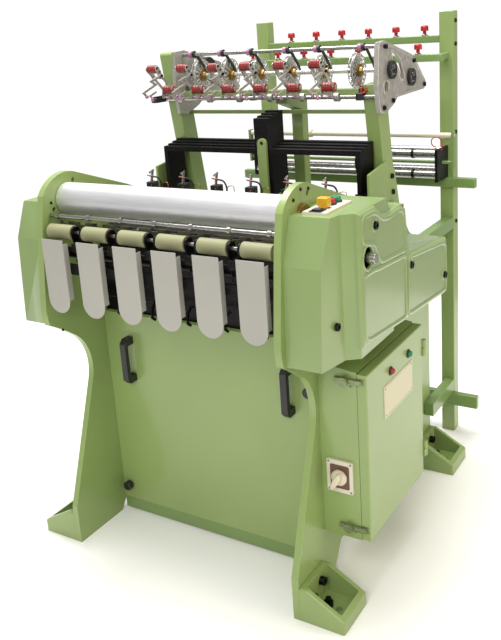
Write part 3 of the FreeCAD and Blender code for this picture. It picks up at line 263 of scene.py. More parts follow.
BLANK_PLATE = plastic("blank_plate", rgb(196, 190, 160), 0.4, 120.0, 0.04)

FINISHES = {
    GREEN: ("side_plate_left", "side_plate_right", "front_panel", "foot_castings", "upright_left",
            "upright_right", "upright_middle", "upright_brackets", "top_ties", "creel_posts",
            "cabinet_body", "cabinet_door"),
    DARK_GREEN: ("cross_rails", "creel_beams", "letoff_levers"),
    COVER_GREEN: ("cover_left", "cover_right"),
    GREY_ENAMEL: ("tape_chutes",),
    BLACK_STEEL: ("roller_brackets", "head_rails", "weft_feelers", "heald_frames_1",
                  "heald_frames_2", "heald_frames_3", "heald_frames_4", "heald_guides",
                  "letoff_plates", "cover_screws", "foot_bolts"),
    IRON: ("machine_bed", "drive_motor"),
    SATIN: ("take_up_roller",),
    PLATE_METAL: ("feeder_plates", "feeder_arms"),
    BRIGHT: ("tape_roller_shaft", "main_shaft", "guide_rod", "feeder_rods", "letoff_tubes",
             "motor_pulley"),
    LATCH_METAL: ("latch_upper", "latch_lower"),
    CHROME: ("feed_wheels",),
    BRASS: ("shaft_bearings",),
    OLIVE_RUBBER: ("tape_rollers",),
    BELT_RUBBER: ("drive_belt",),
    BLACK_PLASTIC: ("panel_fittings", "rocker_switch", "feeder_discs"),
    CREAM_PLASTIC: ("control_plate", "switch_plate", "letoff_roller"),
    KNOB_CREAM: ("switch_knob",),
    YELLOW: ("yellow_button",),
    RED: ("red_button", "creel_knobs", "cabinet_lamps"),
    TEAL: ("green_button",),
    RED_BROWN: ("feeder_rollers",),
    BLANK_PLATE: ("name_plate",),
}


def dress_nodes():
    """Gives every CAD piece its finish."""
    for material, names in FINISHES.items():
        for name in names:
            node = frame["nodes"][name]
            node.data.materials.clear()
            node.data.materials.append(material)


# ---------------------------------------------------------------- mesh making
def inset(outline, by):
    """A flat outline drawn in by a distance."""
    count = len(outline)
    area = sum(a[0] * b[1] - b[0] * a[1] for a, b in zip(outline, outline[1:] + outline[:1]))
    side = math.copysign(by, area)
    drawn = []
    for i, corner in enumerate(outline):
        here = Vector(corner)
        before = (here - Vector(outline[i - 1])).normalized().orthogonal()
        after = (Vector(outline[(i + 1) % count]) - here).normalized().orthogonal()
        drawn.append(here + (before + after) * side / (1.0 + before.dot(after)))
    return drawn


def rounded(corners, radius, steps=4):
    """A flat outline with each corner turned into a short curve."""
    points = []
    for i, corner in enumerate(corners):
        here = Vector(corner)
        before = Vector(corners[i - 1]) - here
        after = Vector(corners[(i + 1) % len(corners)]) - here
        start = here + before.normalized() * min(radius, before.length * 0.45)
        end = here + after.normalized() * min(radius, after.length * 0.45)
        for step in range(steps + 1):
            t = step / steps
            points.append(start * (1 - t) ** 2 + here * 2 * t * (1 - t) + end * t * t)
    return points


def rectangle(x, y, half, half_y):
    """A rectangle round a middle."""
    return [(x - half, y - half_y), (x + half, y - half_y), (x + half, y + half_y),
            (x - half, y + half_y)]


def drawn_in(low, high, across, up):
    """A rectangle drawn in by a distance each way."""
    return [(low[0] + across, low[1] + up), (high[0] - across, low[1] + up),
            (high[0] - across, high[1] - up), (low[0] + across, high[1] - up)]


def strap_outline(path, width, steps=6):
    """Outline of a flat strap that follows a path and has round ends."""
    path = [Vector(point) for point in path]
    left = []
    right = []
    for i, here in enumerate(path):
        before = (here - path[i - 1]).normalized() if i else (path[1] - here).normalized()
        after = (path[i + 1] - here).normalized() if i + 1 < len(path) else before
        side = (before.orthogonal() + after.orthogonal()) / (1.0 + before.dot(after))
        left.append(here + side * width / 2.0)
        right.append(here - side * width / 2.0)

    def cap(middle, first):
        turned = [first - middle]
        for step in range(1, steps):
            angle = -math.pi * step / steps
            arm = first - middle
            turned.append(Vector((arm.x * math.cos(angle) - arm.y * math.sin(angle),
                                  arm.x * math.sin(angle) + arm.y * math.cos(angle))))
        return [middle + arm for arm in turned]

    return left[:-1] + cap(path[-1], left[-1]) + right[:0:-1] + cap(path[0], right[0])


def smooth_shaded(data, degrees):
    """Shades a mesh smooth, apart from edges sharper than an angle."""
    for polygon in data.polygons:
        polygon.use_smooth = True
    data.set_sharp_from_angle(angle=math.radians(degrees))


def placed(name, data, material):
    """Puts a mesh into the scene as an object of one material."""
    data.materials.append(material)
    piece = bpy.data.objects.new(name, data)
    bpy.context.scene.collection.objects.link(piece)
    return piece


ALONG = {"X": Vector((1, 0, 0)), "Y": Vector((0, 1, 0)), "Z": Vector((0, 0, 1))}


def lifted(plane, outline, level):
    """A flat outline's points, at a level along the axis that its plane lies across."""
    if plane == "X":
        return [(level, p.x, p.y) for p in outline]
    if plane == "Y":
        return [(p.x, level, p.y) for p in outline]
    return [(p.x, p.y, level) for p in outline]


class Forge:
    """Gathers one piece's mesh from points in millimetres of the loom's layout."""

    def __init__(self):
        self.mesh = bmesh.new()

    def skin(self, rings, looped=False):
        """Joins rings of points, one after the other, and closes the two ends."""
        loops = [[self.mesh.verts.new(at(*point)) for point in ring] for ring in rings]
        pairs = list(zip(loops, loops[1:]))
        if looped:
            pairs.append((loops[-1], loops[0]))
        for first, second in pairs:
            for i in range(len(first)):
                j = (i + 1) % len(first)
                self.mesh.faces.new((first[i], first[j], second[j], second[i]))
        if not looped:
            self.mesh.faces.new(loops[0])
            self.mesh.faces.new(loops[-1])

    def turned(self, centre, axis, profile, sides=32, looped=False):
        """A lathe-turned form from pairs of distance along the axis and radius."""
        axis = ALONG[axis] if isinstance(axis, str) else Vector(axis).normalized()
        side = axis.orthogonal().normalized()
        other = axis.cross(side)
        rings = []
        for distance, radius in profile:
            middle = Vector(centre) + axis * distance
            ring = []
            for i in range(sides):
                angle = 2.0 * math.pi * i / sides
                ring.append(middle + (side * math.cos(angle) + other * math.sin(angle)) * radius)
            rings.append(ring)
        self.skin(rings, looped)

    def disc(self, centre, axis, thickness, radius, edge=0.8, sides=32):
        """A flat round part with eased edges."""
        edge = min(edge, abs(thickness) * 0.45, radius * 0.4)
        step = math.copysign(edge, thickness)
        self.turned(centre, axis, ((0.0, radius - edge), (step, radius), (thickness - step, radius),
                                   (thickness, radius - edge)), sides)

    def washer(self, centre, axis, thickness, outer, inner, sides=40):
        """A flat ring with eased outer edges."""
        edge = min(0.6, thickness * 0.3)
        self.turned(centre, axis, ((0.0, inner), (0.0, outer - edge), (edge, outer),
                                   (thickness - edge, outer), (thickness, outer - edge),
                                   (thickness, inner)), sides, looped=True)

    def bead_ring(self, centre, axis, radius, half, height, sides=40):
        """A round rim that stands on a face."""
        profile = []
        for step in range(7):
            angle = math.pi * step / 6.0
            profile.append((height * math.sin(angle), radius + half * math.cos(angle)))
        self.turned(centre, axis, profile, sides, looped=True)

    def slab(self, plane, low, high, outline, edge=0.8):
        """A flat part with eased edges. The outline lies in the plane across the named axis."""
        edge = min(edge, (high - low) * 0.45)
        rings = []
        for level, drawn in ((low, edge), (low + edge, 0.0), (high - edge, 0.0), (high, edge)):
            flat = inset(outline, drawn) if drawn else [Vector(point) for point in outline]
            rings.append(lifted(plane, flat, level))
        self.skin(rings)

    def border(self, plane, hole, outline, low, high):
        """A flat part with a hole whose outline has as many points as its own."""
        levels = ((hole, low), (outline, low), (outline, high), (hole, high))
        self.skin([lifted(plane, drawn, level) for drawn, level in levels], looped=True)

    def block(self, low, high, edge=1.5, corner=2.0):
        """A box with rounded upright corners and eased top and bottom edges."""
        self.slab("Z", low[2], high[2], rounded(drawn_in(low, high, 0.0, 0.0), corner, 3), edge)

    def bead(self, face_x, path, half, height, closed=True):
        """A rounded rib that stands on a face looking along X and follows a path in Y and Z."""
        path = [Vector(point) for point in path]
        rings = []
        last = len(path) - 1
        for i, here in enumerate(path):
            before = (here - path[i - 1]).normalized() if i or closed else None
            ahead = path[(i + 1) % len(path)] - here
            after = ahead.normalized() if i < last or closed else before
            before = before or after
            side = (before.orthogonal() + after.orthogonal()) / (1.0 + before.dot(after))
            ring = []
            for step in range(7):
                angle = math.pi * step / 6.0
                spot = here + side * half * math.cos(angle)
                ring.append((face_x + height * math.sin(angle), spot.x, spot.y))
            rings.append(ring)
        self.skin(rings, looped=closed)

    def wire(self, points, radius, sides=8, steps=5):
        """A round wire on a smooth line through the points."""
        points = [Vector(point) for point in points]
        padded = [points[0] * 2 - points[1]] + points + [points[-1] * 2 - points[-2]]
        line = []
        for a, b, c, d in zip(padded, padded[1:], padded[2:], padded[3:]):
            for step in range(steps):
                t = step / steps
                line.append(0.5 * (2 * b + (c - a) * t + (2 * a - 5 * b + 4 * c - d) * t * t
                                   + (3 * b - a - 3 * c + d) * t ** 3))
        line.append(points[-1])
        side = (line[1] - line[0]).orthogonal().normalized()
        rings = []
        for i, here in enumerate(line):
            ahead = (line[min(i + 1, len(line) - 1)] - line[max(i - 1, 0)]).normalized()
            side = (side - ahead * side.dot(ahead)).normalized()
            other = ahead.cross(side)
            rings.append([here + (side * math.cos(2 * math.pi * k / sides)
                                  + other * math.sin(2 * math.pi * k / sides)) * radius
                          for k in range(sides)])
        self.skin(rings)

    def rod(self, start, end, radius, end_radius=None, sides=16):
        """A straight round bar between two places, tapered if the end has its own radius."""
        run = Vector(end) - Vector(start)
        last = radius if end_radius is None else end_radius
        self.turned(start, run, ((0.0, radius * 0.85), (radius * 0.15, radius),
                                 (run.length - last * 0.15, last), (run.length, last * 0.85)), sides)

    def cap_screw(self, centre, axis, radius, height):
        """A socket-head screw: a round head with a hollow in its end."""
        sign = math.copysign(1.0, height)
        self.turned(centre, axis, ((0.0, radius), (height - sign, radius), (height, radius - 1.0),
                                   (height, radius * 0.5), (height * 0.45, radius * 0.45)), 20)

    def done(self, name, material, body, slot, *replaced):
        """Turns what was gathered into a piece that rides on a body."""
        bmesh.ops.recalc_face_normals(self.mesh, faces=self.mesh.faces)
        data = bpy.data.meshes.new(name)
        self.mesh.to_mesh(data)
        self.mesh.free()
        smooth_shaded(data, 38.0)
        piece = placed(name, data, material)
        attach(piece, body)
        if replaced:
            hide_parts(*replaced)


def spread(count, pitch, middle=0.0):
    """Even places along X, about a middle."""
    return [middle + (i - (count - 1) / 2.0) * pitch for i in range(count)]


def back(metres, axis):
    """A frame coordinate in metres, back in the layout's millimetres."""
    return (metres - (MID_X, FRONT_Y, 0.0)[axis]) * MM


def corners(node):
    """A CAD node's lowest and highest corner in the layout's millimetres."""
    low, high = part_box(node)
    return ([back(low[i], i) for i in range(3)], [back(high[i], i) for i in range(3)])


# The loom's layout in millimetres. Pairs are Y and Z of a centre line that runs along X.
HALF = PLATE_IN * MM                     # half the width between the side plates
OUTER = PLATE_OUT * MM                   # half the width over the side plates
FACE_X = corners("cover_right")[1][0]    # outer face of the right cover
HEADS = 6
HEAD_PITCH = 130.0
WEFT_PITCH = HEAD_PITCH * 0.95
WHEEL_PITCH = 114.0                      # between feed wheels
SHAFT = (162.0, 977.0)                   # main shaft
WHEEL = (725.0, 1379.0)                  # feed wheel shaft
TOP_ROD = (681.0, 1450.0)
LOW_ROD = (640.0, 1310.0)
LOWER_BARREL = (556.0, 1348.0)
UPPER_BARREL = (482.0, 1419.0)
ELBOW = (512.0, 1388.0)                  # bend of a feeder's lever
PLATE_FACE = corners("feeder_plates")[1][0]
ROCKER_Y = 102.0
LAMP_Z = 612.0
LAMP_INSET = 12.0                        # from a lamp's centre to its edge
CREEL_RIGHT = HALF + 30.0                # middle of the right creel post
CREEL_LEFT = -HALF + 78.0
POST_HALF = 24.0                         # half a creel post's width


CREASE_AREA = 0.0015                 # square metres: two faces this large meet in a crisp crease
CREASE_ANGLE = math.radians(3.0)
EDGE_ANGLE = math.radians(24.0)      # an outer edge sharper than this is rounded over
FLAT_ANGLE = math.radians(0.8)
WELD = 1e-5                          # metres


def eased(node, width, wanted=None, segments=3):
    """A copy of a CAD piece with its outer edges rounded over, shown in its place."""
    source = frame["nodes"][node]
    mesh = bmesh.new()
    mesh.from_mesh(source.data)
    bmesh.ops.remove_doubles(mesh, verts=mesh.verts, dist=WELD)
    bmesh.ops.dissolve_limit(mesh, angle_limit=FLAT_ANGLE, verts=mesh.verts, edges=mesh.edges)
    edges = []
    for edge in mesh.edges:
        if len(edge.link_faces) != 2:
            continue
        angle = edge.calc_face_angle()
        if edge.is_convex and angle > EDGE_ANGLE:
            spots = [Vector([back(vert.co[i], i) for i in range(3)]) for vert in edge.verts]
            if wanted is None or all(wanted(spot) for spot in spots):
                edges.append(edge)
        smaller = min(face.calc_area() for face in edge.link_faces)
        if angle > CREASE_ANGLE and smaller > CREASE_AREA:
            edge.smooth = False
    bmesh.ops.bevel(mesh, geom=edges, offset=width / MM, offset_type="OFFSET", segments=segments,
                    profile=0.5, affect="EDGES", clamp_overlap=True)
    data = bpy.data.meshes.new(node + "_eased")
    mesh.to_mesh(data)
    mesh.free()
    creases = [edge.use_edge_sharp for edge in data.edges]
    smooth_shaded(data, 40.0)
    for edge, creased in zip(data.edges, creases):
        edge.use_edge_sharp = edge.use_edge_sharp or creased
    piece = placed(node + "_eased", data, source.data.materials[0])
    even = piece.modifiers.new("even_shading", "WEIGHTED_NORMAL")
    even.keep_sharp = True
    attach(piece, source["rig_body"])
    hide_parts(node)


def outer_cover_edge(spot):
    """True on a right cover's outer skin, away from its shaft hole and control window."""
    if spot.x < OUTER + 2.0:
        return False
    if math.hypot(spot.y - SHAFT[0], spot.z - SHAFT[1]) < 32.0:
        return False
    return not (spot.x < OUTER + 92.0 and 80.0 < spot.y < 230.0 and spot.z > 1080.0)


def make_eased_pieces():
    """Rounded-over copies, with the width of the rounding in millimetres."""
    eased("cover_right", 8.0, outer_cover_edge, 4)
    eased("cover_left", 8.0, lambda spot: spot.x < -OUTER - 2.0, 4)
    eased("foot_castings", 6.0)
    eased("cabinet_door", 3.0)
    eased("side_plate_left", 2.2)
    eased("side_plate_right", 2.2)
    for node in ("upright_left", "upright_right", "upright_middle", "creel_posts", "creel_beams"):
        eased(node, 2.5)
    for node in ("top_ties", "upright_brackets", "front_panel", "cross_rails"):
        eased(node, 1.0)
    for node in ("feeder_plates", "tape_chutes", "letoff_plates"):
        eased(node, 0.8)
    for group in range(1, 5):
        eased("heald_frames_%d" % group, 0.7)


# ---------------------------------------------------------------- right cover
COVER_SCREWS = ((207.0, 1047.0), (439.0, 879.0), (709.0, 770.0))


def make_cover_details():
    """The cast ribs that frame three shallow fields, and the rims round the holes."""
    ribs = Forge()
    upper = [(134, 1080), (211, 1080), (250, 1053), (292, 1045), (372, 1050), (397, 1034),
             (405, 931), (236, 944), (205, 1000), (134, 1018)]
    lower = [(134, 936), (200, 936), (216, 932), (404, 917), (399, 743), (160, 765), (134, 775)]
    rear = [(427, 904), (700, 873), (724, 860), (724, 722), (700, 722), (414, 744)]
    for field in (upper, lower, rear):
        ribs.bead(FACE_X - 0.6, rounded(field, 18.0), 7.5, 4.0)
    for y, z in COVER_SCREWS:
        ribs.bead_ring((FACE_X - 0.4, y, z), "X", 15.0, 3.5, 2.6)
    ribs.bead_ring((FACE_X - 0.4, *SHAFT), "X", 31.0, 4.5, 3.4)
    ribs.done("cover_ribs", COVER_GREEN, "frame", "green_enamel")

    # Painted highlight: thin bright steel rings round the screws and the shaft hole stand for the
    # glints on the rims, and partly for bare metal where the paint is worn off.
    glints = Forge()
    for y, z in COVER_SCREWS:
        glints.washer((FACE_X + 0.1, y, z), "X", 1.2, 12.4, 10.2)
    glints.washer((FACE_X + 0.1, *SHAFT), "X", 1.0, 28.6, 27.0)
    glints.done("bare_seat_glints", BRIGHT, "frame", "bright_steel")


# ---------------------------------------------------------------- feeder frame
SPOKES = 16
CROSS_BARS = 8
CROSS_BAR_RADIUS = 44.0


def spoke(forge, turn, reach, widths, levels):
    """A flat spoke on the wheel shaft, from one radius out to another."""
    angle = 2.0 * math.pi * turn / SPOKES
    outward = Vector((math.cos(angle), math.sin(angle)))
    across = Vector((-outward.y, outward.x))
    inner = Vector(WHEEL) + outward * reach[0]
    outer = Vector(WHEEL) + outward * reach[1]
    narrow = across * widths[0]
    wide = across * widths[1]
    forge.slab("X", *levels, [inner - narrow, outer - wide, outer + wide, inner + narrow], 0.3)


def make_feed_wheels():
    """Six spoked wheels on one shaft, each two thin discs with a brass hub on its right."""
    wheels = Forge()
    webs = Forge()
    hubs = Forge()
    low, high = corners("feed_wheels")
    wheels.turned((low[0], *WHEEL), "X", ((0.0, 6.0), (1.0, 7.0), (high[0] - low[0] - 1.0, 7.0),
                                          (high[0] - low[0], 6.0)), 24)
    for x in spread(HEADS, WHEEL_PITCH):
        for side in (-7.5, 6.0):
            face = x + side
            wheels.turned((face, *WHEEL), "X", ((0.0, 47.5), (0.0, 51.0), (0.5, 51.8), (1.3, 51.8),
                                                (1.8, 51.0), (1.8, 47.5)), 64, looped=True)
            wheels.disc((face, *WHEEL), "X", 1.6, 17.0)
            for turn in range(SPOKES):
                spoke(wheels, turn, (15.0, 48.5), (1.9, 4.2), (face, face + 1.6))
        webs.disc((x - 1.0, *WHEEL), "X", 1.4, 46.5, 0.4, 64)
        for turn in range(SPOKES):
            spoke(wheels, turn + 0.5, (16.0, 48.0), (0.6, 0.6), (x - 6.0, x + 6.0))
        for turn in range(CROSS_BARS):
            angle = 2.0 * math.pi * (turn + 0.5) / CROSS_BARS
            spot = (WHEEL[0] + CROSS_BAR_RADIUS * math.cos(angle),
                    WHEEL[1] + CROSS_BAR_RADIUS * math.sin(angle))
            wheels.rod((x - 7.0, *spot), (x + 7.5, *spot), 2.2, sides=8)
        hubs.turned((x + 7.6, *WHEEL), "X", ((0.0, 19.0), (1.5, 20.0), (4.0, 20.0), (5.0, 18.5),
                                             (5.5, 13.0), (12.0, 11.0), (13.0, 9.5), (13.0, 7.2)), 32)
    wheels.done("spoked_feed_wheels", CHROME, "feed_drive", "chrome", "feed_wheels")
    webs.done("feed_wheel_webs", SATIN, "feed_drive", "chrome")
    hubs.done("feed_wheel_hubs", BRASS, "feed_drive", "bearing_brass")


def barrel(forge, x, length, centre, radius):
    """Moulded roller: eased ends and shallow grooves."""
    profile = [(0.0, radius - 3.0), (1.5, radius - 0.8), (3.0, radius)]
    for step in (0.3, 0.5, 0.7):
        profile += [(length * step - 1.0, radius), (length * step, radius - 0.7),
                    (length * step + 1.0, radius)]
    profile += [(length - 3.0, radius), (length - 1.5, radius - 0.8), (length, radius - 3.0)]
    forge.turned((x, *centre), "X", profile, 32)


# A feeder's flat parts: path in Y and Z, width, steps in a round end, left and right face
# from the lever's left face, and eased edge.
FEEDER_STRAPS = (
    ([(632.0, 1311.0), LOWER_BARREL, ELBOW], 9.0, 6, 0.0, 4.0, 1.0),
    ([ELBOW, (500.0, 1404.0), UPPER_BARREL], 17.0, 6, 0.0, 4.6, 1.2),
    ([UPPER_BARREL, (490.0, 1408.0), (493.0, 1398.0)], 21.0, 10, 39.2, 41.6, 0.8),
    ([(492.0, 1398.0), (520.0, 1376.0), (545.0, 1352.0)], 10.0, 6, 42.2, 44.2, 0.8),
    ([(493.0, 1399.0), (438.0, 1386.0), (460.0, 1374.0), (396.0, 1355.0), (411.0, 1344.0)],
     8.0, 4, 44.6, 47.2, 0.7),
    ([(455.0, 1352.0), (424.0, 1343.0), (436.0, 1333.0)], 6.5, 4, 47.6, 49.6, 0.6),
    ([LOWER_BARREL, (551.0, 1331.0)], 20.0, 6, 2.0, 4.6, 0.8))


def make_feeder_units():
    """Six thread feeders: a cast lever on the lower rod, two barrels and a folded guide strip."""
    metal_parts = Forge()
    barrels = Forge()
    eyes = Forge()
    screws = Forge()
    for middle in spread(HEADS, WHEEL_PITCH):
        x = middle - 36.0                # left face of the cast lever
        metal_parts.turned((x, *LOW_ROD), "X", ((0.0, 6.2), (0.0, 12.0), (1.0, 13.0), (15.0, 13.0),
                                                (16.0, 12.0), (16.0, 6.2)), 32, looped=True)
        for path, width, steps, left, right, edge in FEEDER_STRAPS:
            outline = strap_outline(path, width, steps)
            metal_parts.slab("X", x + left, x + right, outline, edge)
        barrel(barrels, x + 5.0, 34.0, UPPER_BARREL, 13.0)
        barrel(barrels, x + 5.0, 40.0, LOWER_BARREL, 14.0)
        end = x + 39.2                   # right end of the upper barrel
        metal_parts.disc((x + 45.2, *LOWER_BARREL), "X", 1.8, 6.5)
        metal_parts.rod((x + 4.0, 551.0, 1328.0), (x + 30.0, 551.0, 1326.0), 3.4)
        for y, z, shift in ((411.0, 1342.0, 7.0), (436.0, 1331.0, 9.0), (551.0, 1323.0, -12.0)):
            spot = (end + shift - 4.0, y, z)
            eyes.turned(spot, "X", ((0.0, 2.2), (0.0, 4.4), (2.5, 5.8), (5.5, 5.8), (8.0, 4.4),
                                    (8.0, 2.2)), 20, looped=True)
        screws.cap_screw((end + 2.4, 478.0, 1423.0), "X", 3.6, 3.0)
        screws.cap_screw((end + 2.4, 489.0, 1411.0), "X", 2.6, 3.0)
        screws.cap_screw((end + 8.0, 492.0, 1398.5), "X", 4.6, 4.0)
        screws.cap_screw((x + 16.0, LOW_ROD[0] - 6.0, LOW_ROD[1] + 9.0), "X", 2.6, 2.0)
    metal_parts.done("feeder_levers", PLATE_METAL, "frame", "satin_aluminium", "feeder_arms")
    barrels.done("feeder_barrels", RED_BROWN, "frame", "red_brown_plastic", "feeder_rollers")
    eyes.done("thread_eyes", PINK_CERAMIC, "frame", "red_brown_plastic")
    screws.done("feeder_screws", BLACK_STEEL, "frame", "black_steel")


CERAMICS_X = (-286.0, -172.0, -63.0, 68.0, 175.0, 320.0)
ROD_HOLDERS = ((-402.0, 592.0, 676.0), (-50.0, 642.0, 722.0))    # X, then front and rear Y
RING_BORE = 6.2


def make_rod_fittings():
    """Ceramic rings and black drop levers on the top rod, black holders on the lower rod."""
    rings = Forge()
    blacks = Forge()
    y, z = TOP_ROD
    for x in CERAMICS_X:
        rings.turned((x - 9.0, y, z), "X", ((0.0, RING_BORE), (0.0, 9.0), (2.0, 11.0), (5.0, 10.0),
                                            (9.0, 10.0), (12.0, 11.0), (14.0, 9.0),
                                            (14.0, RING_BORE)), 28, looped=True)
        blacks.washer((x + 5.4, y, z), "X", 7.0, 11.6, RING_BORE)
        arm = [(677.0, 1447.0), (688.0, 1454.0), (736.0, 1404.0), (748.0, 1380.0), (742.0, 1377.0),
               (726.0, 1399.0)]
        blacks.slab("X", x + 12.6, x + 16.6, rounded(arm, 5.0), 1.2)
    y, z = LOW_ROD
    for x, front, rear in ROD_HOLDERS:
        outline = rounded([(x - 4.0, front), (x + 22.0, front - 4.0), (x + 30.0, rear),
                           (x + 6.0, rear + 4.0)], 6.0)
        blacks.slab("Z", z - 8.0, z + 9.0, outline, 2.0)
        blacks.slab("Z", z + 9.0, z + 12.0, inset(outline, 5.0), 1.0)
    blacks.block((322.0, 626.0, z - 9.0), (344.0, 704.0, z + 13.0), 1.5, 3.0)
    blacks.block((326.0, 640.0, z + 13.0), (340.0, 662.0, z + 26.0), 1.5, 3.0)
    blacks.block((326.0, 674.0, z + 13.0), (340.0, 696.0, z + 22.0), 1.5, 3.0)
    blacks.done("rod_holders", BLACK_PLASTIC, "frame", "black_plastic")
    rings.done("rod_ceramics", PINK_CERAMIC, "frame", "red_brown_plastic")
    leads = Forge()
    for turn in range(3):
        lift = 6.0 * turn
        leads.wire([(331.0, 668.0 - lift, z + 20.0), (326.0, 652.0 - lift, z + 34.0 + lift),
                    (338.0, 636.0, z + 28.0), (340.0, 630.0 + lift, z + 12.0),
                    (352.0, 650.0, z + 16.0 + lift), (362.0, 672.0, z + 18.0)], 1.5)
    leads.done("switch_leads", RED, "frame", "red_plastic")


def make_plate_fittings():
    """Raised rims on the feeder plates, and the rubber discs with their hubs."""
    rims = Forge()
    outline = rounded([(686, 1459), (646, 1457), (631, 1342), (645, 1267), (683, 1261), (748, 1284),
                       (776, 1300), (1001, 1302), (1012, 1317), (924, 1392), (893, 1407)], 10.0)
    rims.bead(PLATE_FACE - 0.3, outline, 4.5, 2.6)
    slot_line = rounded([(738, 1440), (800, 1413), (842, 1343), (809, 1332), (777, 1384),
                         (738, 1403)], 12.0)
    rims.bead(PLATE_FACE - 0.3, slot_line, 3.2, 2.2)
    rims.bead_ring((PLATE_FACE - 0.3, 692.0, 1333.0), "X", 19.5, 3.2, 2.2)
    rims.done("feeder_plate_rims", PLATE_METAL, "frame", "satin_aluminium")

    rubber = Forge()
    hubs = Forge()
    left = -HALF + 45.0 + 12.0           # right face of the left feeder plate
    for x, y, z, r in ((PLATE_FACE, *WHEEL, 27.0), (PLATE_FACE, 880.0, 1344.0, 27.0),
                       (left, 815.0, 1388.0, 46.0)):
        rubber.turned((x + 0.2, y, z), "X", ((0.0, r - 1.5), (2.0, r), (5.0, r), (6.0, r - 2.2),
                                             (7.0, r), (10.0, r), (11.6, r - 2.0), (11.6, r - 6.0),
                                             (9.4, r - 8.0), (9.4, 11.0), (11.6, 10.0),
                                             (17.6, 9.0), (17.8, 4.0), (14.0, 3.6)), 48)
        for turn in range(6):
            angle = math.pi * turn / 3.0
            reach = (r + 4.0) / 2.0
            hubs.cap_screw((x + 9.6, y + reach * math.cos(angle), z + reach * math.sin(angle)), "X",
                           2.0, 1.8)
        hubs.washer((x + 9.6, y, z), "X", 1.0, 13.0, 10.6)
    rubber.done("rubber_discs", BLACK_RUBBER, "frame", "black_rubber", "feeder_discs")
    hubs.done("disc_hardware", BRIGHT, "frame", "bright_steel")


# ---------------------------------------------------------------- weft units
def make_weft_units():
    """One small unit per head: black box, tilted bright lever, black arm with a red-brown tip."""
    low = corners("weft_feelers")[0]
    base = low[2]
    middle = low[1] + 47.0
    boxes = Forge()
    levers = Forge()
    tips = Forge()
    wires = Forge()
    for x in spread(HEADS, WEFT_PITCH):
        boxes.block((x - 14.0, middle - 12.0, base), (x + 14.0, middle + 16.0, base + 30.0), 1.5, 3.0)
        boxes.block((x - 20.0, middle - 30.0, base), (x + 26.0, middle - 12.5, base + 8.0), 1.0, 2.0)
        boxes.wire([(x + 34.0, middle + 4.0, base + 2.0), (x + 36.0, middle, base + 26.0),
                    (x + 30.0, middle - 6.0, base + 44.0), (x + 14.0, middle - 14.0, base + 50.0)],
                   2.6)
        tips.rod((x + 15.0, middle - 14.0, base + 50.0), (x - 2.0, middle - 20.0, base + 54.0), 2.8,
                 2.0)
        tips.disc((x - 22.0, middle - 20.0, base + 6.0), "X", 5.0, 5.0)
        levers.slab("X", x - 2.0, x + 1.5,
                    strap_outline([(middle - 4.0, base + 26.0), (middle + 6.0, base + 62.0)], 11.0),
                    0.8)
        levers.slab("X", x - 3.6, x - 1.6,
                    strap_outline([(middle - 6.0, base + 60.0), (middle + 14.0, base + 64.0)], 7.0),
                    0.6)
        levers.slab("X", x - 14.9, x - 14.1, rectangle(middle - 10.5, base + 15.0, 1.5, 15.0), 0.3)
        wires.wire([(x + 44.0, middle - 8.0, base + 2.0), (x + 44.0, middle - 6.0, base + 24.0),
                    (x + 52.0, middle - 6.0, base + 30.0), (x + 66.0, middle - 6.0, base + 28.0),
                    (x + 68.0, middle - 8.0, base + 2.0)], 1.1)
        wires.cap_screw((x + 4.0, middle - 12.0, base + 20.0), "Y", 2.6, -1.6)
        wires.cap_screw((x - 6.0, middle - 12.0, base + 9.0), "Y", 2.6, -1.6)
    boxes.done("weft_unit_boxes", BLACK_PLASTIC, "frame", "black_steel", "weft_feelers")
    levers.done("weft_unit_levers", BRIGHT, "frame", "bright_steel")
    tips.done("weft_unit_tips", RED_BROWN, "frame", "red_brown_plastic")
    wires.done("weft_unit_wires", BRASS, "frame", "bearing_brass")


# ---------------------------------------------------------------- controls
# A collar's Y and height. The yellow head comes down over its collar, so that one is low.
COLLARS = ((137.0, 1.0), (173.0, 4.2), (204.0, 4.2))
BUTTON_BORE = 12.7


def make_control_details():
    """Black collars round the buttons, a printed dark field and ribs on the rocker."""
    low, high = corners("control_plate")
    top = high[2]
    x = (low[0] + high[0]) / 2.0
    collars = Forge()
    for y, tall in COLLARS:
        collars.turned((x, y, top - 0.2), "Z", ((0.0, BUTTON_BORE), (0.0, 15.4), (0.57 * tall, 15.4),
                                                (tall, 14.0), (tall, BUTTON_BORE)), 36, looped=True)
    frame_outline = rounded(rectangle(x, ROCKER_Y, 17.0, 16.5), 4.0)
    window = rounded(rectangle(x, ROCKER_Y, 13.6, 12.8), 3.0)
    collars.border("Z", window, frame_outline, top - 0.2, top + 1.4)
    collars.done("control_collars", BLACK_PLASTIC, "frame", "black_plastic")

    ribs = Forge()
    roof = corners("rocker_switch")[1][2]
    for y in spread(5, 3.2, ROCKER_Y):
        ribs.rod((x - 8.5, y, roof - 0.4), (x + 8.5, y, roof - 0.4), 0.9, sides=8)
    ribs.done("rocker_ribs", BLACK_PLASTIC, "rocker", "black_plastic")


# ---------------------------------------------------------------- cabinet
KNOB_TURN = math.radians(28.0)
LATCHES_Z = (640.0, 211.0)


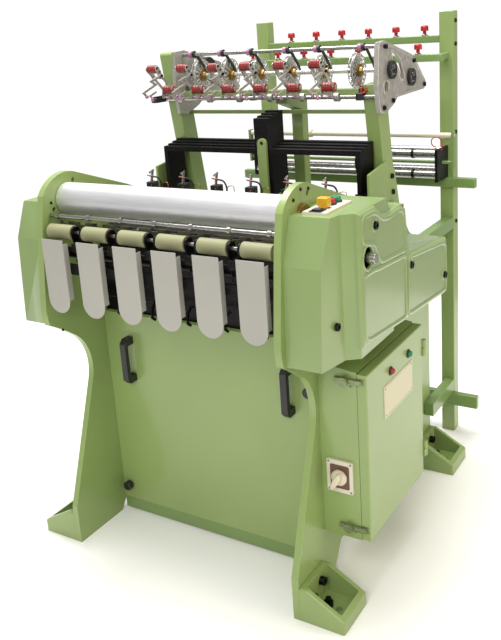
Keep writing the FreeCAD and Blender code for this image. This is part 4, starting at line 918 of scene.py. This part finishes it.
def make_cabinet_details():
    """Lamps with their bezels, a bare plate's border, the rotary switch and the small screws."""
    low, high = corners("cabinet_lamps")
    lamp_x = low[0]
    lamps_y = (low[1] + LAMP_INSET, high[1] - LAMP_INSET)
    for name, y, material, slot, replaced in (
            ("red_lamp", lamps_y[0], RED, "red_plastic", ("cabinet_lamps",)),
            ("green_lamp", lamps_y[1], TEAL, "green_plastic", ())):
        lens = Forge()
        lens.turned((lamp_x + 2.0, y, LAMP_Z), "X", ((0.0, 8.8), (4.0, 8.8), (7.5, 7.8), (10.0, 5.2),
                                                     (11.0, 1.2)), 32)
        lens.done(name, material, "door", slot, *replaced)
    bezels = Forge()
    for y in lamps_y:
        bezels.turned((lamp_x, y, LAMP_Z), "X", ((0.0, 8.9), (0.0, 12.5), (2.4, 12.5), (4.0, 11.0),
                                                 (4.0, 8.9)), 36, looped=True)
    bezels.done("lamp_bezels", BLACK_PLASTIC, "door", "black_plastic")

    low, high = corners("name_plate")
    face = high[0]
    lines = Forge()
    lines.bead(face - 0.1, rounded(drawn_in(low[1:], high[1:], 5.0, 5.0), 5.0), 0.7, 0.5)
    for y in (low[1] + 9.0, high[1] - 9.0):
        for z in (low[2] + 9.0, high[2] - 9.0):
            lines.turned((face - 0.1, y, z), "X", ((0.0, 2.6), (0.8, 2.2), (1.3, 1.0)), 16)
    lines.done("plate_rivets", BRIGHT, "door", "bright_steel")

    low, high = corners("switch_plate")
    front, rear = low[1], high[1]
    field = Forge()
    mid_x = (low[0] + high[0]) / 2.0
    mid_z = (low[2] + high[2]) / 2.0
    outer = rounded(drawn_in(low[::2], high[::2], 10.0, 12.0), 6.0)
    hole = []
    for point in outer:
        arm = Vector((point.x - mid_x, point.y - mid_z))
        hole.append(Vector((mid_x, mid_z)) + arm.normalized() * 9.2)
    field.border("Y", hole, outer, front + 0.1, front - 0.28)
    field.done("switch_field", BROWN_FIELD, "frame", "red_brown_plastic")

    knob = Forge()
    knob.turned((mid_x, front - 0.6, mid_z), "Y", ((0.0, 21.0), (-2.0, 22.5), (-8.0, 22.0),
                                                   (-11.0, 19.0), (-12.0, 14.0)), 40)
    grip = []
    for along, across in ((24.0, -5.0), (24.0, 5.0), (0.0, 9.0), (-27.0, 5.5), (-27.0, -5.5),
                          (0.0, -9.0)):
        grip.append((mid_x + across * math.cos(KNOB_TURN) + along * math.sin(KNOB_TURN),
                     mid_z - across * math.sin(KNOB_TURN) + along * math.cos(KNOB_TURN)))
    knob.slab("Y", front - 32.0, front - 10.0, rounded(grip, 5.0), 3.0)
    knob.done("pointer_knob", KNOB_CREAM, "rotary_knob", "cream_plastic", "switch_knob")

    trims = Forge()
    for x, z in drawn_in(low[::2], high[::2], 6.0, 6.0):
        trims.cap_screw((x, front, z), "Y", 3.0, -1.6)
    for z in LATCHES_Z:
        for x in (462.0, 494.0):
            trims.cap_screw((x, rear - 0.2, z - 15.0), "Y", 2.8, -1.8)
        keeper = rounded(rectangle(524.0, z, 10.0, 10.0), 3.0)
        trims.slab("Y", rear - 1.6, rear - 0.1, keeper, 0.5)
    trims.done("cabinet_screws", LATCH_METAL, "frame", "bright_steel")


# ---------------------------------------------------------------- front of the head
CLAMP_FRONT = 12.0
CLAMP_Z = 971.0


def make_head_details():
    """Bolts and rounded clamps between the tape rollers, and the dark levers above the panel."""
    clamps = Forge()
    darks = Forge()
    for x in spread(HEADS - 1, HEAD_PITCH):
        clamps.slab("Y", CLAMP_FRONT, 16.0, rounded(rectangle(x, CLAMP_Z, 15.0, 13.0), 9.0), 1.2)
        clamps.cap_screw((x - 7.0, CLAMP_FRONT, CLAMP_Z), "Y", 4.0, -3.0)
        clamps.cap_screw((x + 8.0, CLAMP_FRONT, CLAMP_Z), "Y", 4.0, -3.0)
        clamps.turned((x, 16.0, 932.0), "Y", ((0.0, 3.0), (2.0, 7.5), (9.0, 7.5), (11.0, 5.0)), 20)
    for x in spread(HEADS, HEAD_PITCH):
        hook = strap_outline([(214.0, 762.0), (196.0, 744.0), (190.0, 716.0), (202.0, 706.0)], 9.0)
        darks.slab("X", x + 34.0, x + 38.0, hook, 0.8)
        darks.slab("X", x - 38.0, x - 34.0, hook, 0.8)
        darks.rod((x - 44.0, 212.0, 760.0), (x + 44.0, 212.0, 760.0), 4.0)
    clamps.done("tape_clamps", IRON, "frame", "black_steel")
    darks.done("tape_hooks", BLACK_STEEL, "frame", "black_steel")


PLATE_BOLTS = ((60.0, 1082.0), (212.0, 1104.0), (232.0, 1086.0), (34.0, 860.0), (40.0, 700.0))
CROWN_BOLTS = ((86.0, 1127.0), (124.0, 1146.0), (164.0, 1140.0))
POST_BOLTS_Y = 1190.0
POST_BOLTS_Z = (1500.0, 1424.0, 1128.0, 958.0, 812.0)


def make_plate_bolts():
    """Black screws in the side plates, the uprights and the creel posts."""
    bolts = Forge()
    for sign in (-1.0, 1.0):
        for y, z in PLATE_BOLTS:
            bolts.cap_screw((sign * HALF, y, z), "X", 4.4, -sign * 2.4)
    for y, z in CROWN_BOLTS:
        bolts.cap_screw((OUTER, y, z), "X", 4.6, 2.6)
    for z in POST_BOLTS_Z:
        bolts.cap_screw((CREEL_RIGHT + POST_HALF, POST_BOLTS_Y, z), "X", 7.0, 4.0)
        bolts.cap_screw((CREEL_LEFT - POST_HALF, POST_BOLTS_Y, z), "X", 7.0, -4.0)
    bolts.done("frame_bolts", BLACK_STEEL, "frame", "black_steel")


# Y and Z of a beam's top, then the knobs along it
KNOB_ROWS = ((1178.0, 1455.0, spread(6, 103.0, 74.0)), (1068.0, 1400.0, spread(7, 106.0, 30.0)))
LETOFF_TUBES = ((1072.0, 1000.0), (1072.0, 1070.0))


def make_creel_details():
    """Flanged seats under the red knobs, and the small parts of the let-off."""
    seats = Forge()
    for y, z, places in KNOB_ROWS:
        for x in places:
            seats.turned((x, y, z + 0.1), "Z", ((0.0, 6.3), (0.0, 12.0), (1.2, 12.0), (2.6, 9.0),
                                                (4.4, 8.0), (4.4, 6.3)), 28, looped=True)
    seats.done("knob_seats", BRIGHT, "frame", "bright_steel")

    bands = Forge()
    for x in (CREEL_LEFT + 60.0, 120.0, CREEL_RIGHT - 90.0):
        for y, z in LETOFF_TUBES:
            bands.washer((x, y, z), "X", 10.0, 16.2, 14.1)
    strap = strap_outline([(1066.0, 992.0), (1052.0, 1034.0), (1066.0, 1078.0)], 13.0)
    bands.slab("X", 116.0, 122.0, strap, 1.0)
    bands.done("tube_bands", BLACK_STEEL, "frame", "black_steel")

    loop = Forge()
    x = CREEL_RIGHT + 7.0
    loop.wire([(x - 8.0, 1074.0, 1086.0), (x - 26.0, 1070.0, 1104.0), (x - 20.0, 1064.0, 1124.0),
               (x + 2.0, 1064.0, 1126.0), (x + 12.0, 1068.0, 1104.0), (x + 6.0, 1072.0, 1082.0)], 1.8)
    loop.done("letoff_lead", RED, "frame", "red_plastic")


# ---------------------------------------------------------------- stage, lights and camera
def make_stage():
    """A plain pale floor."""
    left, right, front, rear = -2.6, 2.8, -3.0, 2.0
    mesh = bpy.data.meshes.new("floor")
    mesh.from_pydata([(left, front, 0), (right, front, 0), (right, rear, 0), (left, rear, 0)], [],
                     [(0, 1, 2, 3)])
    floor = bpy.data.objects.new("floor", mesh)
    bpy.context.scene.collection.objects.link(floor)
    paint = Paint("pale_floor")
    clouds = paint.noise(0.8, 2.0)
    tone = paint.mix(paint.ramp(clouds, 0.3, 0.7), rgb(244, 243, 240), rgb(248, 247, 245))
    mesh.materials.append(paint.finish(tone, 0.75))


def area_light(name, place, target, side, power, colour=(1.0, 1.0, 1.0)):
    """A square soft lamp. Its side is in metres and its power in watts."""
    light = bpy.data.lights.new(name, "AREA")
    light.shape = "RECTANGLE"
    light.size = side
    light.size_y = side
    light.energy = power
    light.color = colour
    lamp = bpy.data.objects.new(name, light)
    bpy.context.scene.collection.objects.link(lamp)
    lamp.location = place
    lamp.rotation_euler = (Vector(target) - Vector(place)).to_track_quat("-Z", "Y").to_euler()


LIT_LEVEL = 0.45                     # strength of the surroundings as a light
SEEN_EXTRA = 0.6                     # added where the camera sees them


def make_lights():
    """White surroundings to look at, dimmer ones to light by, and three large soft lamps."""
    bpy.context.scene.view_settings.view_transform = "Standard"
    world = bpy.data.worlds.new("studio")
    bpy.context.scene.world = world
    world.use_nodes = True
    tree = world.node_tree
    background = tree.nodes["Background"]
    background.inputs["Color"].default_value = (1.0, 0.995, 0.985, 1.0)
    seen = tree.nodes.new("ShaderNodeLightPath")
    level = tree.nodes.new("ShaderNodeMath")
    level.operation = "MULTIPLY_ADD"
    level.inputs[1].default_value = SEEN_EXTRA
    level.inputs[2].default_value = LIT_LEVEL
    tree.links.new(seen.outputs["Is Camera Ray"], level.inputs[0])
    tree.links.new(level.outputs[0], background.inputs["Strength"])
    middle = (0.0, 0.0, 0.8)
    area_light("key", (1.2, -4.2, 3.4), middle, 2.4, 122.0, (1.0, 0.97, 0.92))
    area_light("side", (4.2, 0.2, 2.2), middle, 2.4, 62.0, (1.0, 0.87, 0.62))
    area_light("top", (-0.4, 0.3, 4.2), middle, 2.6, 245.0)


EYE = (1360.65, -1618.5, 1555.46)    # millimetres of the layout
RIGHTWARD = (0.8503, 0.5219, -0.0676)
FORWARD = (-0.5198, 0.8129, -0.2627)
LENS = 46.97                         # millimetres on a sensor 36 mm wide


def make_camera():
    """Eye height 1.56 m, to the right of the loom, looking slightly down at its front."""
    data = bpy.data.cameras.new("camera")
    camera = bpy.data.objects.new("camera", data)
    bpy.context.scene.collection.objects.link(camera)
    right = Vector(RIGHTWARD).normalized()
    ahead = Vector(FORWARD).normalized()
    up = right.cross(ahead).normalized()
    turn = Matrix((right, up, -ahead)).transposed().to_4x4()
    camera.matrix_world = Matrix.Translation(at(*EYE)) @ turn
    data.sensor_width = 36.0
    data.lens = LENS
    data.shift_y = -0.117
    data.dof.use_dof = False
    bpy.context.scene.camera = camera


dress_nodes()
make_eased_pieces()
make_cover_details()
make_feed_wheels()
make_feeder_units()
make_rod_fittings()
make_plate_fittings()
make_weft_units()
make_control_details()
make_cabinet_details()
make_head_details()
make_plate_bolts()
make_creel_details()
make_stage()
make_lights()
make_camera()
